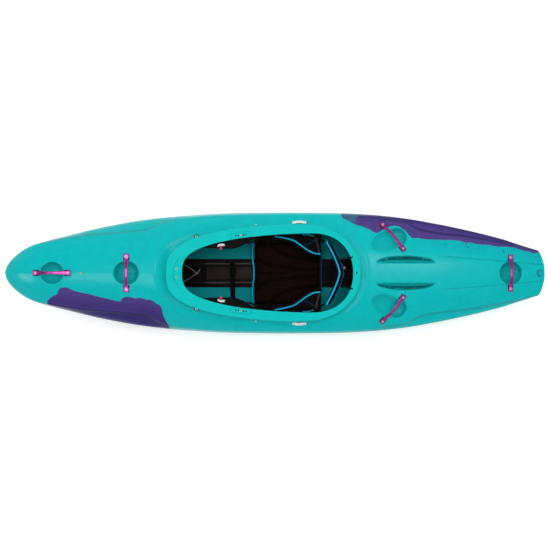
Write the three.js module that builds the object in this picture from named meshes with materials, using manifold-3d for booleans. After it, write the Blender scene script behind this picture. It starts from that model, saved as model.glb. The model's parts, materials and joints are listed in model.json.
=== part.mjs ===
// A whitewater kayak: a rotomoulded hull with a wide cockpit coaming, five bolted grab
// handles in finger dishes, and the outfitting inside it. Millimetres, +Z up, bow towards -X,
// stern towards +X. The origin is under the middle of the boat, on its flat planing bottom.

import * as THREE from 'three';
import Module from 'manifold-3d';
import * as BufferGeometryUtils from 'three/addons/utils/BufferGeometryUtils.js';

const wasm = await Module();
wasm.setup();

// Driving dimensions of the hull
const hullLength = 2700;
const hullBeam = 620;
const bowTipHeight = 300;
const profileHeight = 390;
const hullWall = 6;
const seatGap = 0.3;
const cutOverrun = 60;
const transomBulge = 22;

// Driving dimensions of the cockpit and its coaming
const cockpitFrontX = -470;
const cockpitLength = 838;
const cockpitWidth = 391;
const rimFrontX = -548;
const rimLength = 953;
const rimWidth = 480;
const rimFrontHeight = 366;
const rimMiddleHeight = 306;
const rimRearRun = 240;
const flangeThickness = 6;
const lipDepth = 12;
const lipThickness = 6;
const lipOverhang = 17;
const riserWall = 6;
const riserOverlap = 12;

// Tables along the boat: [share of the length from the bow, share of the size it follows].
// Plan of the sheer, before the round nose is drawn in: shares of half the beam.
const beamShares = [[0, 0.335], [0.05, 0.462], [0.1, 0.582], [0.17, 0.74], [0.244, 0.864],
  [0.317, 0.937], [0.42, 0.99], [0.52, 1], [0.6, 0.994], [0.66, 0.974], [0.73, 0.916],
  [0.8, 0.814], [0.88, 0.663], [0.95, 0.5], [1, 0.375]];
// Keel, sheer and deck centre line: shares of the profile height.
const keelShares = [[0, 0.52], [0.037, 0.482], [0.074, 0.385], [0.13, 0.267], [0.185, 0.172],
  [0.24, 0.097], [0.296, 0.038], [0.34, 0.008], [0.37, 0], [0.63, 0], [0.685, 0.012],
  [0.76, 0.056], [0.833, 0.123], [0.907, 0.21], [1, 0.346]];
const sheerShares = [[0, 0.73], [0.074, 0.7], [0.13, 0.64], [0.185, 0.585], [0.24, 0.54],
  [0.32, 0.487], [0.45, 0.44], [0.6, 0.423], [0.8, 0.425], [1, 0.435]];
const deckShares = [[0, 0.885], [0.037, 0.944], [0.074, 0.98], [0.13, 0.995], [0.185, 0.99],
  [0.24, 0.969], [0.275, 0.945], [0.3, 0.9], [0.36, 0.84], [0.45, 0.775], [0.56, 0.72],
  [0.655, 0.695], [0.7, 0.675], [0.78, 0.65], [0.86, 0.62], [0.93, 0.585], [1, 0.525]];
// The crease between the deck panel and the side: its breadth as a share of the beam there,
// and its height as a share of the rise from the sheer to the deck's centre line.
const creaseShares = [[0, 0.95], [0.08, 0.93], [0.137, 0.88], [0.172, 0.826], [0.221, 0.78],
  [0.2515, 0.781], [0.284, 0.885], [0.308, 0.924], [0.36, 0.95], [0.66, 0.95], [0.7, 0.94],
  [0.734, 0.92], [0.767, 0.81], [0.8, 0.79], [0.836, 0.816], [0.881, 0.844], [0.925, 0.86],
  [0.96, 0.9], [1, 0.97]];
const creaseRiseShares = [[0, 0.4], [0.137, 0.42], [0.221, 0.5], [0.284, 0.38], [0.36, 0.32],
  [0.68, 0.32], [0.734, 0.38], [0.8, 0.5], [0.925, 0.48], [1, 0.3]];
// The flat of the bottom as a share of the half beam, and how square the deck's crown is.
const chineShares = [[0, 0.5], [0.1, 0.55], [0.25, 0.64], [0.38, 0.74], [0.62, 0.76],
  [0.8, 0.72], [1, 0.7]];
const crownPowers = [[0, 2.1], [0.25, 2.2], [0.34, 3.2], [0.62, 3.4], [0.72, 2.6], [1, 2.4]];
const noseShare = 0.06;

// Stations of the loft along the boat, closer where the form turns quickly
const stationShares = [0.0001, 0.0012, 0.004, 0.009, 0.016, 0.026, 0.038, 0.053, 0.07, 0.09, 0.112,
  0.137, 0.16, 0.185, 0.21, 0.235, 0.26, 0.284, 0.308, 0.34, 0.37, 0.44, 0.51, 0.58, 0.63,
  0.67, 0.7, 0.734, 0.75, 0.767, 0.79, 0.82, 0.86, 0.9, 0.94, 0.97, 0.985, 1];

// Monotone curve through a table of shares
function along(table, at) {
  const last = table.length - 1;
  if (at <= table[0][0]) return table[0][1];
  if (at >= table[last][0]) return table[last][1];
  const slope = (i) => (table[i + 1][1] - table[i][1]) / (table[i + 1][0] - table[i][0]);
  const tangent = (i) => {
    if (i === 0) return slope(0);
    if (i === last) return slope(last - 1);
    const before = slope(i - 1);
    const after = slope(i);
    return before * after <= 0 ? 0 : (2 * before * after) / (before + after);
  };
  let k = 0;
  while (at > table[k + 1][0]) k += 1;
  const span = table[k + 1][0] - table[k][0];
  const t = (at - table[k][0]) / span;
  const rest = 1 - t;
  return table[k][1] * (1 + 2 * t) * rest * rest + tangent(k) * span * t * rest * rest
    + table[k + 1][1] * t * t * (3 - 2 * t) - tangent(k + 1) * span * t * t * rest;
}

// How far the round nose has opened at a share of the length from the bow
function noseOpening(at) {
  const t = Math.max(0, 1 - at / noseShare);
  return Math.sqrt(1 - t * t);
}

// The section of the boat at a share of its length: half breadths and heights
function sectionAt(at) {
  const open = noseOpening(at);
  const fromTip = (table) => bowTipHeight + (profileHeight * along(table, at) - bowTipHeight) * open;
  const half = (hullBeam / 2) * along(beamShares, at) * open;
  const sheer = fromTip(sheerShares);
  const deck = fromTip(deckShares);
  return {
    half,
    sheer,
    deck,
    keel: fromTip(keelShares),
    chine: half * along(chineShares, at),
    creaseHalf: half * along(creaseShares, at),
    creaseHeight: sheer + (deck - sheer) * along(creaseRiseShares, at),
    crown: along(crownPowers, at),
  };
}

// Shares along each stretch of the half section's outline
const deckStepShares = [0, 0.26, 0.5, 0.7, 0.86, 1];
const sideStepShares = [0.12, 0.32, 0.62];
const bottomStepShares = [0.5, 1];
const flareHeightPower = 1.35;
const flareBreadthPower = 2.2;
const sideBulgeShare = 0.12;

const creaseInsetShare = 0.6;
const widestChineShare = 0.9;

// Half section from the deck's centre line down to the keel, drawn in by an inset
function halfSection(at, inset) {
  const s = sectionAt(at);
  const points = [];
  const deckTop = s.deck - inset;
  const creaseHalf = s.creaseHalf - inset;
  const creaseTop = s.creaseHeight - inset * creaseInsetShare;
  const half = s.half - inset;
  const keel = s.keel + inset;
  const chine = Math.min(s.chine, half * widestChineShare);
  for (const share of deckStepShares) {
    const fall = share ** s.crown;
    points.push([creaseHalf * share, deckTop + (creaseTop - deckTop) * fall]);
  }
  const bulge = (half - creaseHalf) * sideBulgeShare;
  points.push([(creaseHalf + half) / 2 + bulge, (creaseTop + s.sheer) / 2]);
  points.push([half, s.sheer]);
  for (const share of [...sideStepShares].reverse()) {
    points.push([chine + (half - chine) * (1 - (1 - share) ** flareBreadthPower),
      keel + (s.sheer - keel) * share ** flareHeightPower]);
  }
  for (const share of [...bottomStepShares].reverse()) points.push([chine * share, keel]);
  points.push([0, keel]);
  return points;
}

// The transom is slightly round in plan, which draws its corners forward
const transomShare = 0.07;
function transomPull(at, y) {
  const ramp = Math.max(0, 1 - (1 - at) / transomShare);
  const corner = (hullBeam / 2) * along(beamShares, 1);
  return transomBulge * ramp * (y / corner) ** 2;
}

// One closed ring of the loft, in the plane across the boat
function stationRing(at, inset) {
  const half = halfSection(at, inset);
  const full = [...half];
  for (let i = half.length - 2; i > 0; i -= 1) full.push([-half[i][0], half[i][1]]);
  const squeeze = (hullLength / 2 - inset) / (hullLength / 2);
  const x = (at - 0.5) * hullLength * squeeze;
  return full.map(([y, z]) => new THREE.Vector3(x - transomPull(at, y), y, z));
}

// The walls between a stack of rings, as corners of triangles
function loftWalls(rings) {
  const count = rings[0].length;
  const index = [];
  for (let r = 0; r + 1 < rings.length; r += 1) {
    for (let i = 0; i < count; i += 1) {
      const a = r * count + i;
      const b = r * count + ((i + 1) % count);
      index.push(a, b, a + count, b, b + count, a + count);
    }
  }
  return index;
}

function meshOf(rings, index) {
  const geometry = new THREE.BufferGeometry();
  const positions = rings.flat().flatMap((p) => [p.x, p.y, p.z]);
  geometry.setAttribute('position', new THREE.Float32BufferAttribute(positions, 3));
  geometry.setIndex(index);
  return outward(geometry);
}

// A closed body through rings of equal count, with a flat cap on each end. The caps are
// triangulated in the plane of the two named axes.
function loft(rings, capAxes = ['y', 'z']) {
  const count = rings[0].length;
  const index = loftWalls(rings);
  const addCap = (ring, start, reversed) => {
    const flat = ring.map((p) => new THREE.Vector2(p[capAxes[0]], p[capAxes[1]]));
    const turn = Math.sign(THREE.ShapeUtils.area(flat));
    for (const corners of THREE.ShapeUtils.triangulateShape(flat, [])) {
      const [a, b, c] = corners;
      const same = Math.sign(THREE.ShapeUtils.area(corners.map((i) => flat[i]))) === turn;
      if (same === reversed) index.push(start + a, start + c, start + b);
      else index.push(start + a, start + b, start + c);
    }
  };
  addCap(rings[0], 0, true);
  addCap(rings[rings.length - 1], (rings.length - 1) * count, false);
  return meshOf(rings, index);
}

// A closed ring-shaped body: sections of equal count round a closed path
function closedLoft(sections) {
  const count = sections[0].length;
  const index = [];
  for (let r = 0; r < sections.length; r += 1) {
    const next = (r + 1) % sections.length;
    for (let i = 0; i < count; i += 1) {
      const j = (i + 1) % count;
      index.push(r * count + i, r * count + j, next * count + i);
      index.push(r * count + j, next * count + j, next * count + i);
    }
  }
  return meshOf(sections, index);
}

// Turns a closed mesh's faces out where its volume comes out negative
function outward(geometry) {
  const position = geometry.getAttribute('position');
  const index = [...geometry.getIndex().array];
  const corner = (i) => new THREE.Vector3().fromBufferAttribute(position, index[i]);
  let volume = 0;
  for (let i = 0; i < index.length; i += 3) {
    volume += corner(i).dot(corner(i + 1).cross(corner(i + 2)));
  }
  if (volume < 0) {
    for (let i = 0; i < index.length; i += 3) {
      [index[i + 1], index[i + 2]] = [index[i + 2], index[i + 1]];
    }
    geometry.setIndex(index);
  }
  return geometry;
}

// Between three.js geometry and solids that can be joined and cut
function solid(geometry, matrix = new THREE.Matrix4()) {
  const bare = geometry.clone();
  for (const name of ['normal', 'uv']) {
    if (bare.hasAttribute(name)) bare.deleteAttribute(name);
  }
  bare.applyMatrix4(matrix);
  const merged = BufferGeometryUtils.mergeVertices(bare);
  const mesh = new wasm.Mesh({
    numProp: 3,
    vertProperties: new Float32Array(merged.getAttribute('position').array),
    triVerts: new Uint32Array(merged.getIndex().array),
  });
  return new wasm.Manifold(mesh);
}

function geometryOf(body) {
  const mesh = body.getMesh();
  const geometry = new THREE.BufferGeometry();
  geometry.setAttribute('position', new THREE.Float32BufferAttribute(mesh.vertProperties, 3));
  geometry.setIndex([...mesh.triVerts]);
  return geometry;
}

// A block between two corners
function block(low, high) {
  const size = high.map((value, i) => value - low[i]);
  const geometry = new THREE.BoxGeometry(...size);
  geometry.translate(...high.map((value, i) => (value + low[i]) / 2));
  return geometry;
}

// An outline in plan, extruded up from one height to another
function upright(outline, bottom, top) {
  const shape = new THREE.Shape(outline.map(([x, y]) => new THREE.Vector2(x, y)));
  const geometry = new THREE.ExtrudeGeometry(shape, { depth: top - bottom, bevelEnabled: false });
  geometry.translate(0, 0, bottom);
  return geometry;
}

// An outline in the plane along the boat, extruded across it to both sides
function sideways(outline, halfBreadth) {
  const shape = new THREE.Shape(outline.map(([x, z]) => new THREE.Vector2(x, z)));
  const geometry = new THREE.ExtrudeGeometry(shape, { depth: halfBreadth * 2, bevelEnabled: false });
  geometry.rotateX(Math.PI / 2);
  geometry.translate(0, halfBreadth, 0);
  return geometry;
}

// A flat strap along points, with its breadth along one steady direction
function ribbon(points, across, breadth, thickness) {
  const side = across.clone().normalize().multiplyScalar(breadth / 2);
  const rings = points.map((point, i) => {
    const before = points[Math.max(0, i - 1)];
    const after = points[Math.min(points.length - 1, i + 1)];
    const run = after.clone().sub(before).normalize();
    const up = run.clone().cross(side).normalize().multiplyScalar(thickness / 2);
    return [
      point.clone().add(side).add(up),
      point.clone().sub(side).add(up),
      point.clone().sub(side).sub(up),
      point.clone().add(side).sub(up),
    ];
  });
  return loftAlong(rings);
}

// A loft whose caps are quads in any plane
function loftAlong(rings) {
  const count = rings[0].length;
  const index = loftWalls(rings);
  const last = (rings.length - 1) * count;
  for (let i = 1; i + 1 < count; i += 1) {
    index.push(0, i + 1, i);
    index.push(last, last + i, last + i + 1);
  }
  return meshOf(rings, index);
}

// A round cord along hand-picked points
const cordSides = 8;
function cordAlong(points, radius, steps) {
  const section = new THREE.Shape();
  for (let i = 0; i < cordSides; i += 1) {
    const turn = (i / cordSides) * Math.PI * 2;
    const x = Math.cos(turn) * radius;
    const y = Math.sin(turn) * radius;
    if (i === 0) section.moveTo(x, y);
    else section.lineTo(x, y);
  }
  const route = new THREE.CatmullRomCurve3(points.map((p) => new THREE.Vector3(...p)));
  return new THREE.ExtrudeGeometry(section, { steps, extrudePath: route, bevelEnabled: false });
}

// Height of the deck at a place in plan
function deckHeight(x, y) {
  const s = sectionAt(x / hullLength + 0.5);
  const off = Math.abs(y);
  if (off <= s.creaseHalf) {
    return s.deck + (s.creaseHeight - s.deck) * (off / s.creaseHalf) ** s.crown;
  }
  const out = Math.min(1, (off - s.creaseHalf) / (s.half - s.creaseHalf));
  return s.creaseHeight + (s.sheer - s.creaseHeight) * out;
}

// The frame of a fitting that stands on the deck: its X axis runs between its two feet
function deckFrame(from, to) {
  const foot = ([x, y]) => new THREE.Vector3(x, y, deckHeight(x, y));
  const [a, b] = [foot(from), foot(to)];
  const run = b.clone().sub(a).normalize();
  const middle = a.clone().add(b).multiplyScalar(1 / 2);
  const step = hullWall;
  const slopeX = deckHeight(middle.x + step, middle.y) - deckHeight(middle.x - step, middle.y);
  const slopeY = deckHeight(middle.x, middle.y + step) - deckHeight(middle.x, middle.y - step);
  const normal = new THREE.Vector3(-slopeX, -slopeY, step * 2);
  const up = normal.sub(run.clone().multiplyScalar(normal.dot(run))).normalize();
  const across = up.clone().cross(run);
  return new THREE.Matrix4().makeBasis(run, across, up).setPosition(middle);
}

// A geometry on the other side of the boat
function mirrored(geometry) {
  const other = geometry.clone();
  other.scale(1, -1, 1);
  if (!other.getIndex()) {
    other.setIndex([...Array(other.getAttribute('position').count).keys()]);
  }
  return outward(other);
}

// A place on the deck with its normal up, run fore and aft
function deckSpot(x, y) {
  return deckFrame([x - hullWall, y], [x + hullWall, y]);
}

// Looks of the sub-parts
const finish = (color, roughness, metalness) => new THREE.MeshStandardMaterial({
  color, roughness, metalness,
});
const looks = {
  hull: finish(0x10b8bc, 0.35, 0),
  anodised: finish(0xc83c96, 0.3, 0.9),
  steel: finish(0xcfc8c0, 0.3, 0.9),
  brass: finish(0xd8a040, 0.35, 0.9),
  black: finish(0x15120f, 0.6, 0),
  foam: finish(0x2a2320, 0.9, 0),
  cloth: finish(0x100e0d, 0.85, 0),
  webbing: finish(0x0c0c0c, 0.8, 0),
  cord: finish(0x8a8a90, 0.7, 0),
  blueCord: finish(0x1878b8, 0.7, 0),
  release: finish(0xd01860, 0.45, 0),
  white: finish(0xe8e4e0, 0.5, 0),
  plug: finish(0x10a8c0, 0.4, 0),
};

const kayak = new THREE.Group();

function addPiece(name, shape, look, parent = kayak) {
  const geometry = shape.isBufferGeometry ? shape : geometryOf(shape);
  geometry.computeVertexNormals();
  const mesh = new THREE.Mesh(geometry, looks[look]);
  mesh.name = name;
  parent.add(mesh);
  return mesh;
}

// Cockpit outlines in plan: egg shapes, blunt in front and round behind.
// The turn runs from the bow end of the outline, round by the +Y side.
const cockpitWidestShare = 0.76;
const rimWidestShare = 0.68;
const eggFrontPowers = [1.8, 3];
const eggRearPowers = [2.2, 2.2];
const rimSteps = 52;

function eggPoint(turn, frontX, length, width, widestShare) {
  const c = Math.cos(turn);
  const s = Math.sin(turn);
  const [p, q] = c > 0 ? eggFrontPowers : eggRearPowers;
  const reach = c > 0 ? -length * widestShare : length * (1 - widestShare);
  const x = frontX + length * widestShare + reach * Math.abs(c) ** (2 / p);
  const y = Math.sign(s) * Math.abs(s) ** (2 / q) * (width / 2);
  return new THREE.Vector2(x, y);
}
function innerPoint(turn) {
  return eggPoint(turn, cockpitFrontX, cockpitLength, cockpitWidth, cockpitWidestShare);
}
function outerPoint(turn) {
  return eggPoint(turn, rimFrontX, rimLength, rimWidth, rimWidestShare);
}

// Half breadth of the cockpit opening at a place forward of its widest point
function cockpitHalf(x) {
  const [p, q] = eggFrontPowers;
  const run = cockpitLength * cockpitWidestShare;
  const t = Math.min(1, (cockpitFrontX + run - x) / run);
  return (1 - t ** p) ** (1 / q) * (cockpitWidth / 2);
}

// The rim lies in one sloping plane forward of the boat's middle and levels out behind it
const rimSlope = (rimFrontHeight - rimMiddleHeight) / -rimFrontX;
function rimHeight(x) {
  if (x <= 0) return rimMiddleHeight - rimSlope * x;
  const run = Math.min(x, rimRearRun);
  return rimMiddleHeight - rimSlope * run + (rimSlope * run * run) / (2 * rimRearRun);
}

// Cross-section of the coaming: flange, turned-down lip and the riser that joins the deck
function coamingSection(turn) {
  const inner = innerPoint(turn);
  const outer = outerPoint(turn);
  const width = outer.distanceTo(inner);
  const at = (share, height) => {
    const p = inner.clone().lerp(outer, share);
    return new THREE.Vector3(p.x, p.y, height(p));
  };
  const onTop = (drop) => (p) => rimHeight(p.x) - drop;
  const lipIn = 1 - lipThickness / width;
  const riserOut = 1 - lipOverhang / width;
  const riserIn = 1 - (lipOverhang + riserWall) / width;
  const root = inner.clone().lerp(outer, riserOut);
  const foot = Math.min(deckHeight(root.x, root.y) - riserOverlap, rimHeight(root.x) - lipDepth);
  const down = () => foot;
  return [
    at(0, onTop(0)), at(1, onTop(0)), at(1, onTop(lipDepth)), at(lipIn, onTop(lipDepth)),
    at(lipIn, onTop(flangeThickness)), at(riserOut, onTop(flangeThickness)),
    at(riserOut, down), at(riserIn, down), at(riserIn, onTop(flangeThickness)),
    at(0, onTop(flangeThickness)),
  ];
}

function coaming() {
  const sections = [];
  for (let i = 0; i < rimSteps; i += 1) sections.push(coamingSection((i / rimSteps) * Math.PI * 2));
  return closedLoft(sections);
}

// The hole in the deck under the coaming, cut inside the riser's wall
function cockpitCut() {
  const outline = [];
  for (let i = 0; i < rimSteps; i += 1) {
    const turn = (i / rimSteps) * Math.PI * 2;
    const inner = innerPoint(turn);
    const outer = outerPoint(turn);
    const share = 1 - (lipOverhang + riserWall / 2) / outer.distanceTo(inner);
    const p = inner.lerp(outer, share);
    outline.push([p.x, p.y]);
  }
  const floor = hullWall + cutOverrun;
  return upright(outline, floor, profileHeight + cutOverrun);
}

// Grab handles: a bolted strap over a dish for the fingers
const handleSpacing = 158;
const handleEnd = 13;
const handlePad = 26;
const handleWaist = 17;
const handleFoot = 5;
const handleMiddle = 8;
const handleArch = 13;
const handleRampStart = 15;
const handleRampRun = 30;
const handleChamfer = 1.5;
const landLift = 1.5;
const landMargin = 3;
const landDepth = 10;
const landClear = 30;
const dishRadius = 57;
const dishDepth = 38;

// A place in plan: shares of the hull's length from its middle and of its half beam
function inPlan([lengthShare, breadthShare]) {
  return [hullLength * lengthShare, (hullBeam / 2) * breadthShare];
}
const onPort = ([x, y]) => [x, -y];

// Places of the handles' middles, and of the rear handles' feet, on the deck
const bowHandleShares = [-0.4056, 0];
const foredeckHandleShares = [-0.2733, 0];
const rearHandleOuterShares = [0.195, 0.7742];
const rearHandleInnerShares = [0.2291, 0.3984];
const sternHandleShares = [0.4333, 0];

const reach = handleSpacing / 2;
const fromMiddle = ([x, y], stepX, stepY) => ({
  from: [x - stepX, y - stepY],
  to: [x + stepX, y + stepY],
});
const rearOuter = inPlan(rearHandleOuterShares);
const rearInner = inPlan(rearHandleInnerShares);
const handles = [
  { name: 'bow_handle', ...fromMiddle(inPlan(bowHandleShares), reach, 0) },
  { name: 'foredeck_handle', ...fromMiddle(inPlan(foredeckHandleShares), 0, reach) },
  { name: 'rear_right_handle', from: rearOuter, to: rearInner },
  { name: 'rear_left_handle', from: onPort(rearOuter), to: onPort(rearInner) },
  { name: 'stern_handle', ...fromMiddle(inPlan(sternHandleShares), 0, reach) },
];

// A strap with a foot on each end, flat under its feet and arched between them
function strapHandle(size) {
  const half = size.spacing / 2 + size.end;
  const flatEnd = half - size.end - size.rampStart;
  const rampEnd = flatEnd - size.rampRun;
  const offsets = [half, half - size.end / 2, flatEnd, (flatEnd + rampEnd) / 2, rampEnd, rampEnd / 2];
  const places = [...offsets, 0, ...[...offsets].reverse().map((x) => -x)];
  const rings = places.map((x) => {
    const off = Math.abs(x);
    const rise = THREE.MathUtils.smoothstep(flatEnd - off, 0, size.rampRun);
    const breadth = THREE.MathUtils.lerp(size.pad, size.waist, rise);
    const tip = off === half ? size.end / 2 : 0;
    const y = breadth / 2 - tip;
    const low = seatGap + size.arch * rise;
    const high = low + THREE.MathUtils.lerp(size.foot, size.middle, rise);
    const c = size.chamfer;
    return [[y, low], [y, high - c], [y - c, high], [c - y, high], [-y, high - c], [-y, low]]
      .map(([across, up]) => new THREE.Vector3(x, across, up));
  });
  return loft(rings, ['y', 'z']);
}

const grabSize = {
  spacing: handleSpacing,
  end: handleEnd,
  pad: handlePad,
  waist: handleWaist,
  foot: handleFoot,
  middle: handleMiddle,
  arch: handleArch,
  rampStart: handleRampStart,
  rampRun: handleRampRun,
  chamfer: handleChamfer,
};

// Security bars beside the coaming: short steel straps with the same build
const barX = 103;
const barClear = 12;
const barY = rimWidth / 2 + barClear;
const barSize = {
  spacing: 54,
  end: 8,
  pad: 14,
  waist: 13,
  foot: 3,
  middle: 4,
  arch: 11,
  rampStart: 7,
  rampRun: 9,
  chamfer: 1,
};

// Bolts: a domed head and a plain shank, along local Z with the seat at zero
const boltSides = 8;
const boltDomeShare = 0.7;
function boltShape(size) {
  const profile = [
    [0, -size.length], [size.shank, -size.length], [size.shank, 0], [size.head, 0],
    [size.head * boltDomeShare, size.height], [0, size.height],
  ].map(([x, y]) => new THREE.Vector2(x, y));
  const geometry = new THREE.LatheGeometry(profile, boltSides);
  geometry.rotateX(Math.PI / 2);
  return geometry;
}
const handleBolt = { head: 5.8, height: 3, shank: 3, length: 13 };
const barBolt = { head: 3.6, height: 2, shank: 2, length: 9 };
const rimBolt = { head: 5.5, height: 2.6, shank: 3, length: 14 };
const deckBolt = { head: 7.5, height: 3.2, shank: 3, length: 10 };
const sideBolt = { head: 5, height: 2.6, shank: 2.5, length: 9 };
const foredeckScrew = { head: 5.2, height: 2, shank: 2.5, length: 9 };

// A round hole along a frame's Z, between two local heights
function drill(matrix, x, y, radius, low, high, sides = boltSides) {
  const geometry = new THREE.CylinderGeometry(radius, radius, high - low, sides);
  geometry.rotateX(Math.PI / 2);
  geometry.translate(x, y, (low + high) / 2);
  return solid(geometry, matrix);
}

function lifted(matrix, height) {
  return matrix.clone().multiply(new THREE.Matrix4().makeTranslation(0, 0, height));
}

// A dish: the part of an ellipsoid below the frame's seat plane, grown by a wall
const dishSides = 16;
function dishCut(matrix, halfX, halfY, depth, grow) {
  const radius = (halfY * halfY + depth * depth) / (2 * depth);
  const geometry = new THREE.SphereGeometry(1, dishSides, dishSides / 2);
  geometry.rotateX(Math.PI / 2);
  geometry.scale((radius * halfX) / halfY + grow, radius + grow, radius + grow);
  geometry.translate(0, 0, radius - depth);
  return solid(geometry, matrix);
}

// The rear dishes: a long scoop towards the cockpit and a deeper bowl under the handle
const scoopFromShares = [0.1726, 0.3871];
const scoopToShares = [0.237, 0.6839];
const scoopHalf = 52;
const scoopDepth = 20;
const bowlShares = [0.2207, 0.5806];
const bowlRadius = 48;
const bowlDepth = 34;

// Two drain grooves behind the cockpit, straight on the inside and bowed on the outside
const grooveFromShare = 0.1811;
const grooveToShare = 0.2889;
const grooveInnerY = 51;
const grooveBreadth = 34;
const grooveDepth = 20;

function grooveCut(side, grow) {
  const [grooveFrom, grooveTo] = [hullLength * grooveFromShare, hullLength * grooveToShare];
  const frame = deckFrame([grooveFrom, side * grooveInnerY], [grooveTo, side * grooveInnerY]);
  const geometry = new THREE.SphereGeometry(1, dishSides, dishSides / 2);
  geometry.scale((grooveTo - grooveFrom) / 2 + grow, grooveBreadth + grow, grooveDepth + grow);
  const body = solid(geometry, frame);
  const inner = grooveInnerY - grow;
  const low = [grooveFrom - cutOverrun, side > 0 ? inner : -hullBeam, 0];
  const high = [grooveTo + cutOverrun, side > 0 ? hullBeam : -inner, profileHeight + cutOverrun];
  return body.intersect(solid(block(low, high)));
}

// Fittings of the hull: frames, lands to stand on, and holes for their bolts
const handleFrames = handles.map(({ from, to }) => lifted(deckFrame(from, to), landLift));
const barFrames = [1, -1].map((side) => lifted(
  deckFrame([barX - barSize.spacing / 2, side * barY], [barX + barSize.spacing / 2, side * barY]),
  landLift,
));
const deckBoltX = -405;
const deckBoltY = 176;
const sideBoltX = -115;
const foredeckScrewShare = -0.3533;
const drainShare = 0.4896;
const spotPlaces = [
  { name: 'deck_bolt', x: deckBoltX, y: deckBoltY, size: deckBolt },
  { name: 'side_bolt', x: sideBoltX, y: rimWidth / 2, size: sideBolt },
].flatMap((spot) => [
  { ...spot, name: `${spot.name}_right` },
  { ...spot, name: `${spot.name}_left`, y: -spot.y },
]);
spotPlaces.push({ name: 'foredeck_screw', x: hullLength * foredeckScrewShare, y: 0, size: foredeckScrew });
const spotFrames = spotPlaces.map(({ x, y }) => deckSpot(x, y));
const drainFrame = lifted(deckSpot(hullLength * drainShare, 0), landLift);
const drainBore = 13.3;
const drainSides = 20;
const drainLand = 19;

function landBox(length, breadth, low, high) {
  return block([-length / 2, -breadth / 2, low], [length / 2, breadth / 2, high]);
}

// Lands: a thick patch of wall under each fitting, and the space kept clear above it
function lands(grow) {
  const pads = [];
  const clears = [];
  const addLand = (frame, length, breadth) => {
    const grown = [length + grow * 2, breadth + grow * 2];
    pads.push(solid(landBox(...grown, -landDepth - grow, 0), frame));
    clears.push(solid(landBox(length, breadth, 0, landClear), frame));
  };
  const span = (size) => size.spacing + size.end * 2 + landMargin * 2;
  for (const frame of handleFrames) addLand(frame, span(grabSize), handlePad + landMargin * 2);
  for (const frame of barFrames) addLand(frame, span(barSize), barSize.pad + landMargin);
  spotFrames.forEach((frame, i) => {
    const across = (spotPlaces[i].size.head + landMargin) * 2;
    addLand(frame, across, across);
  });
  addLand(drainFrame, drainLand * 2, drainLand * 2);
  return { pads, clears };
}

function dishes(grow) {
  const cuts = [];
  for (const i of [0, 1, 4]) cuts.push(dishCut(handleFrames[i], dishRadius, dishRadius, dishDepth, grow));
  const [scoopFrom, scoopTo] = [inPlan(scoopFromShares), inPlan(scoopToShares)];
  const long = Math.hypot(scoopTo[0] - scoopFrom[0], scoopTo[1] - scoopFrom[1]) / 2;
  for (const side of [1, -1]) {
    const turned = ([x, y]) => [x, side * y];
    const scoop = deckFrame(turned(scoopFrom), turned(scoopTo));
    cuts.push(dishCut(scoop, long, scoopHalf, scoopDepth, grow));
    const [x, y] = turned(inPlan(bowlShares));
    cuts.push(dishCut(deckSpot(x, y), bowlRadius, bowlRadius, bowlDepth, grow));
    cuts.push(grooveCut(side, grow));
  }
  return cuts;
}

const union = (bodies) => bodies.reduce((sum, body) => sum.add(body));
const without = (body, cuts) => cuts.reduce((rest, cut) => rest.subtract(cut), body);

// The space inside the hull, from an inset of its form
const innerStations = stationShares.slice(2);
function cavity(inset) {
  return solid(loft(innerStations.map((at) => stationRing(at, inset))));
}

// Rim fittings: bolts through the coaming's flange, on its sloping plane
const noseBoltX = -496;
const noseBoltY = 21;
const braceBoltX = -186;
const braceBoltY = 184.6;
const adjustPitch = 12.5;
const adjustHole = 2;
const boltPlay = 0.3;
const tieHoleX = 388;
const tieHole = 3;
const adjustTaper = 0.14;

function rimFrame(x, y, taper) {
  const run = new THREE.Vector3(1, taper, -rimSlope).normalize();
  const up = new THREE.Vector3(rimSlope, 0, 1).normalize();
  const across = up.clone().cross(run).normalize();
  return new THREE.Matrix4().makeBasis(run, across, up).setPosition(x, y, rimHeight(x));
}

function hullBody() {
  const outer = solid(loft(stationShares.map((at) => stationRing(at, 0))));
  const { pads, clears } = lands(0);
  const inner = without(cavity(hullWall), dishes(hullWall));
  let body = without(outer, clears).subtract(inner).add(union(pads));
  body = without(body, dishes(0));
  body = body.subtract(solid(cockpitCut())).add(solid(coaming()));
  const holes = [];
  const shankHole = (size) => size.shank + boltPlay;
  for (const frame of handleFrames) {
    for (const end of [-1, 1]) {
      const depth = handleBolt.length - handleFoot + boltPlay;
      holes.push(drill(frame, (end * handleSpacing) / 2, 0, shankHole(handleBolt), -depth, landDepth));
    }
  }
  for (const frame of barFrames) {
    for (const end of [-1, 1]) {
      const depth = barBolt.length - barSize.foot + boltPlay;
      holes.push(drill(frame, (end * barSize.spacing) / 2, 0, shankHole(barBolt), -depth, landDepth));
    }
  }
  spotFrames.forEach((frame, i) => {
    const { size } = spotPlaces[i];
    holes.push(drill(frame, 0, 0, shankHole(size), -size.length - seatGap, landDepth));
  });
  holes.push(drill(drainFrame, 0, 0, drainBore, -cutOverrun, landDepth, drainSides));
  for (const side of [1, -1]) {
    const nose = rimFrame(noseBoltX, side * noseBoltY, 0);
    holes.push(drill(nose, 0, 0, shankHole(rimBolt), -lipDepth, lipDepth));
    const row = rimFrame(braceBoltX, side * braceBoltY, side * adjustTaper);
    holes.push(drill(row, 0, 0, shankHole(rimBolt), -lipDepth, lipDepth));
    for (const step of [-2, -1, 1, 2]) {
      holes.push(drill(row, step * adjustPitch, 0, adjustHole, -lipDepth, lipDepth));
    }
  }
  holes.push(drill(rimFrame(tieHoleX, 0, 0), 0, 0, tieHole, -lipDepth, lipDepth));
  return without(body, holes);
}

const hull = hullBody();
addPiece('hull', hull, 'hull');

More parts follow.
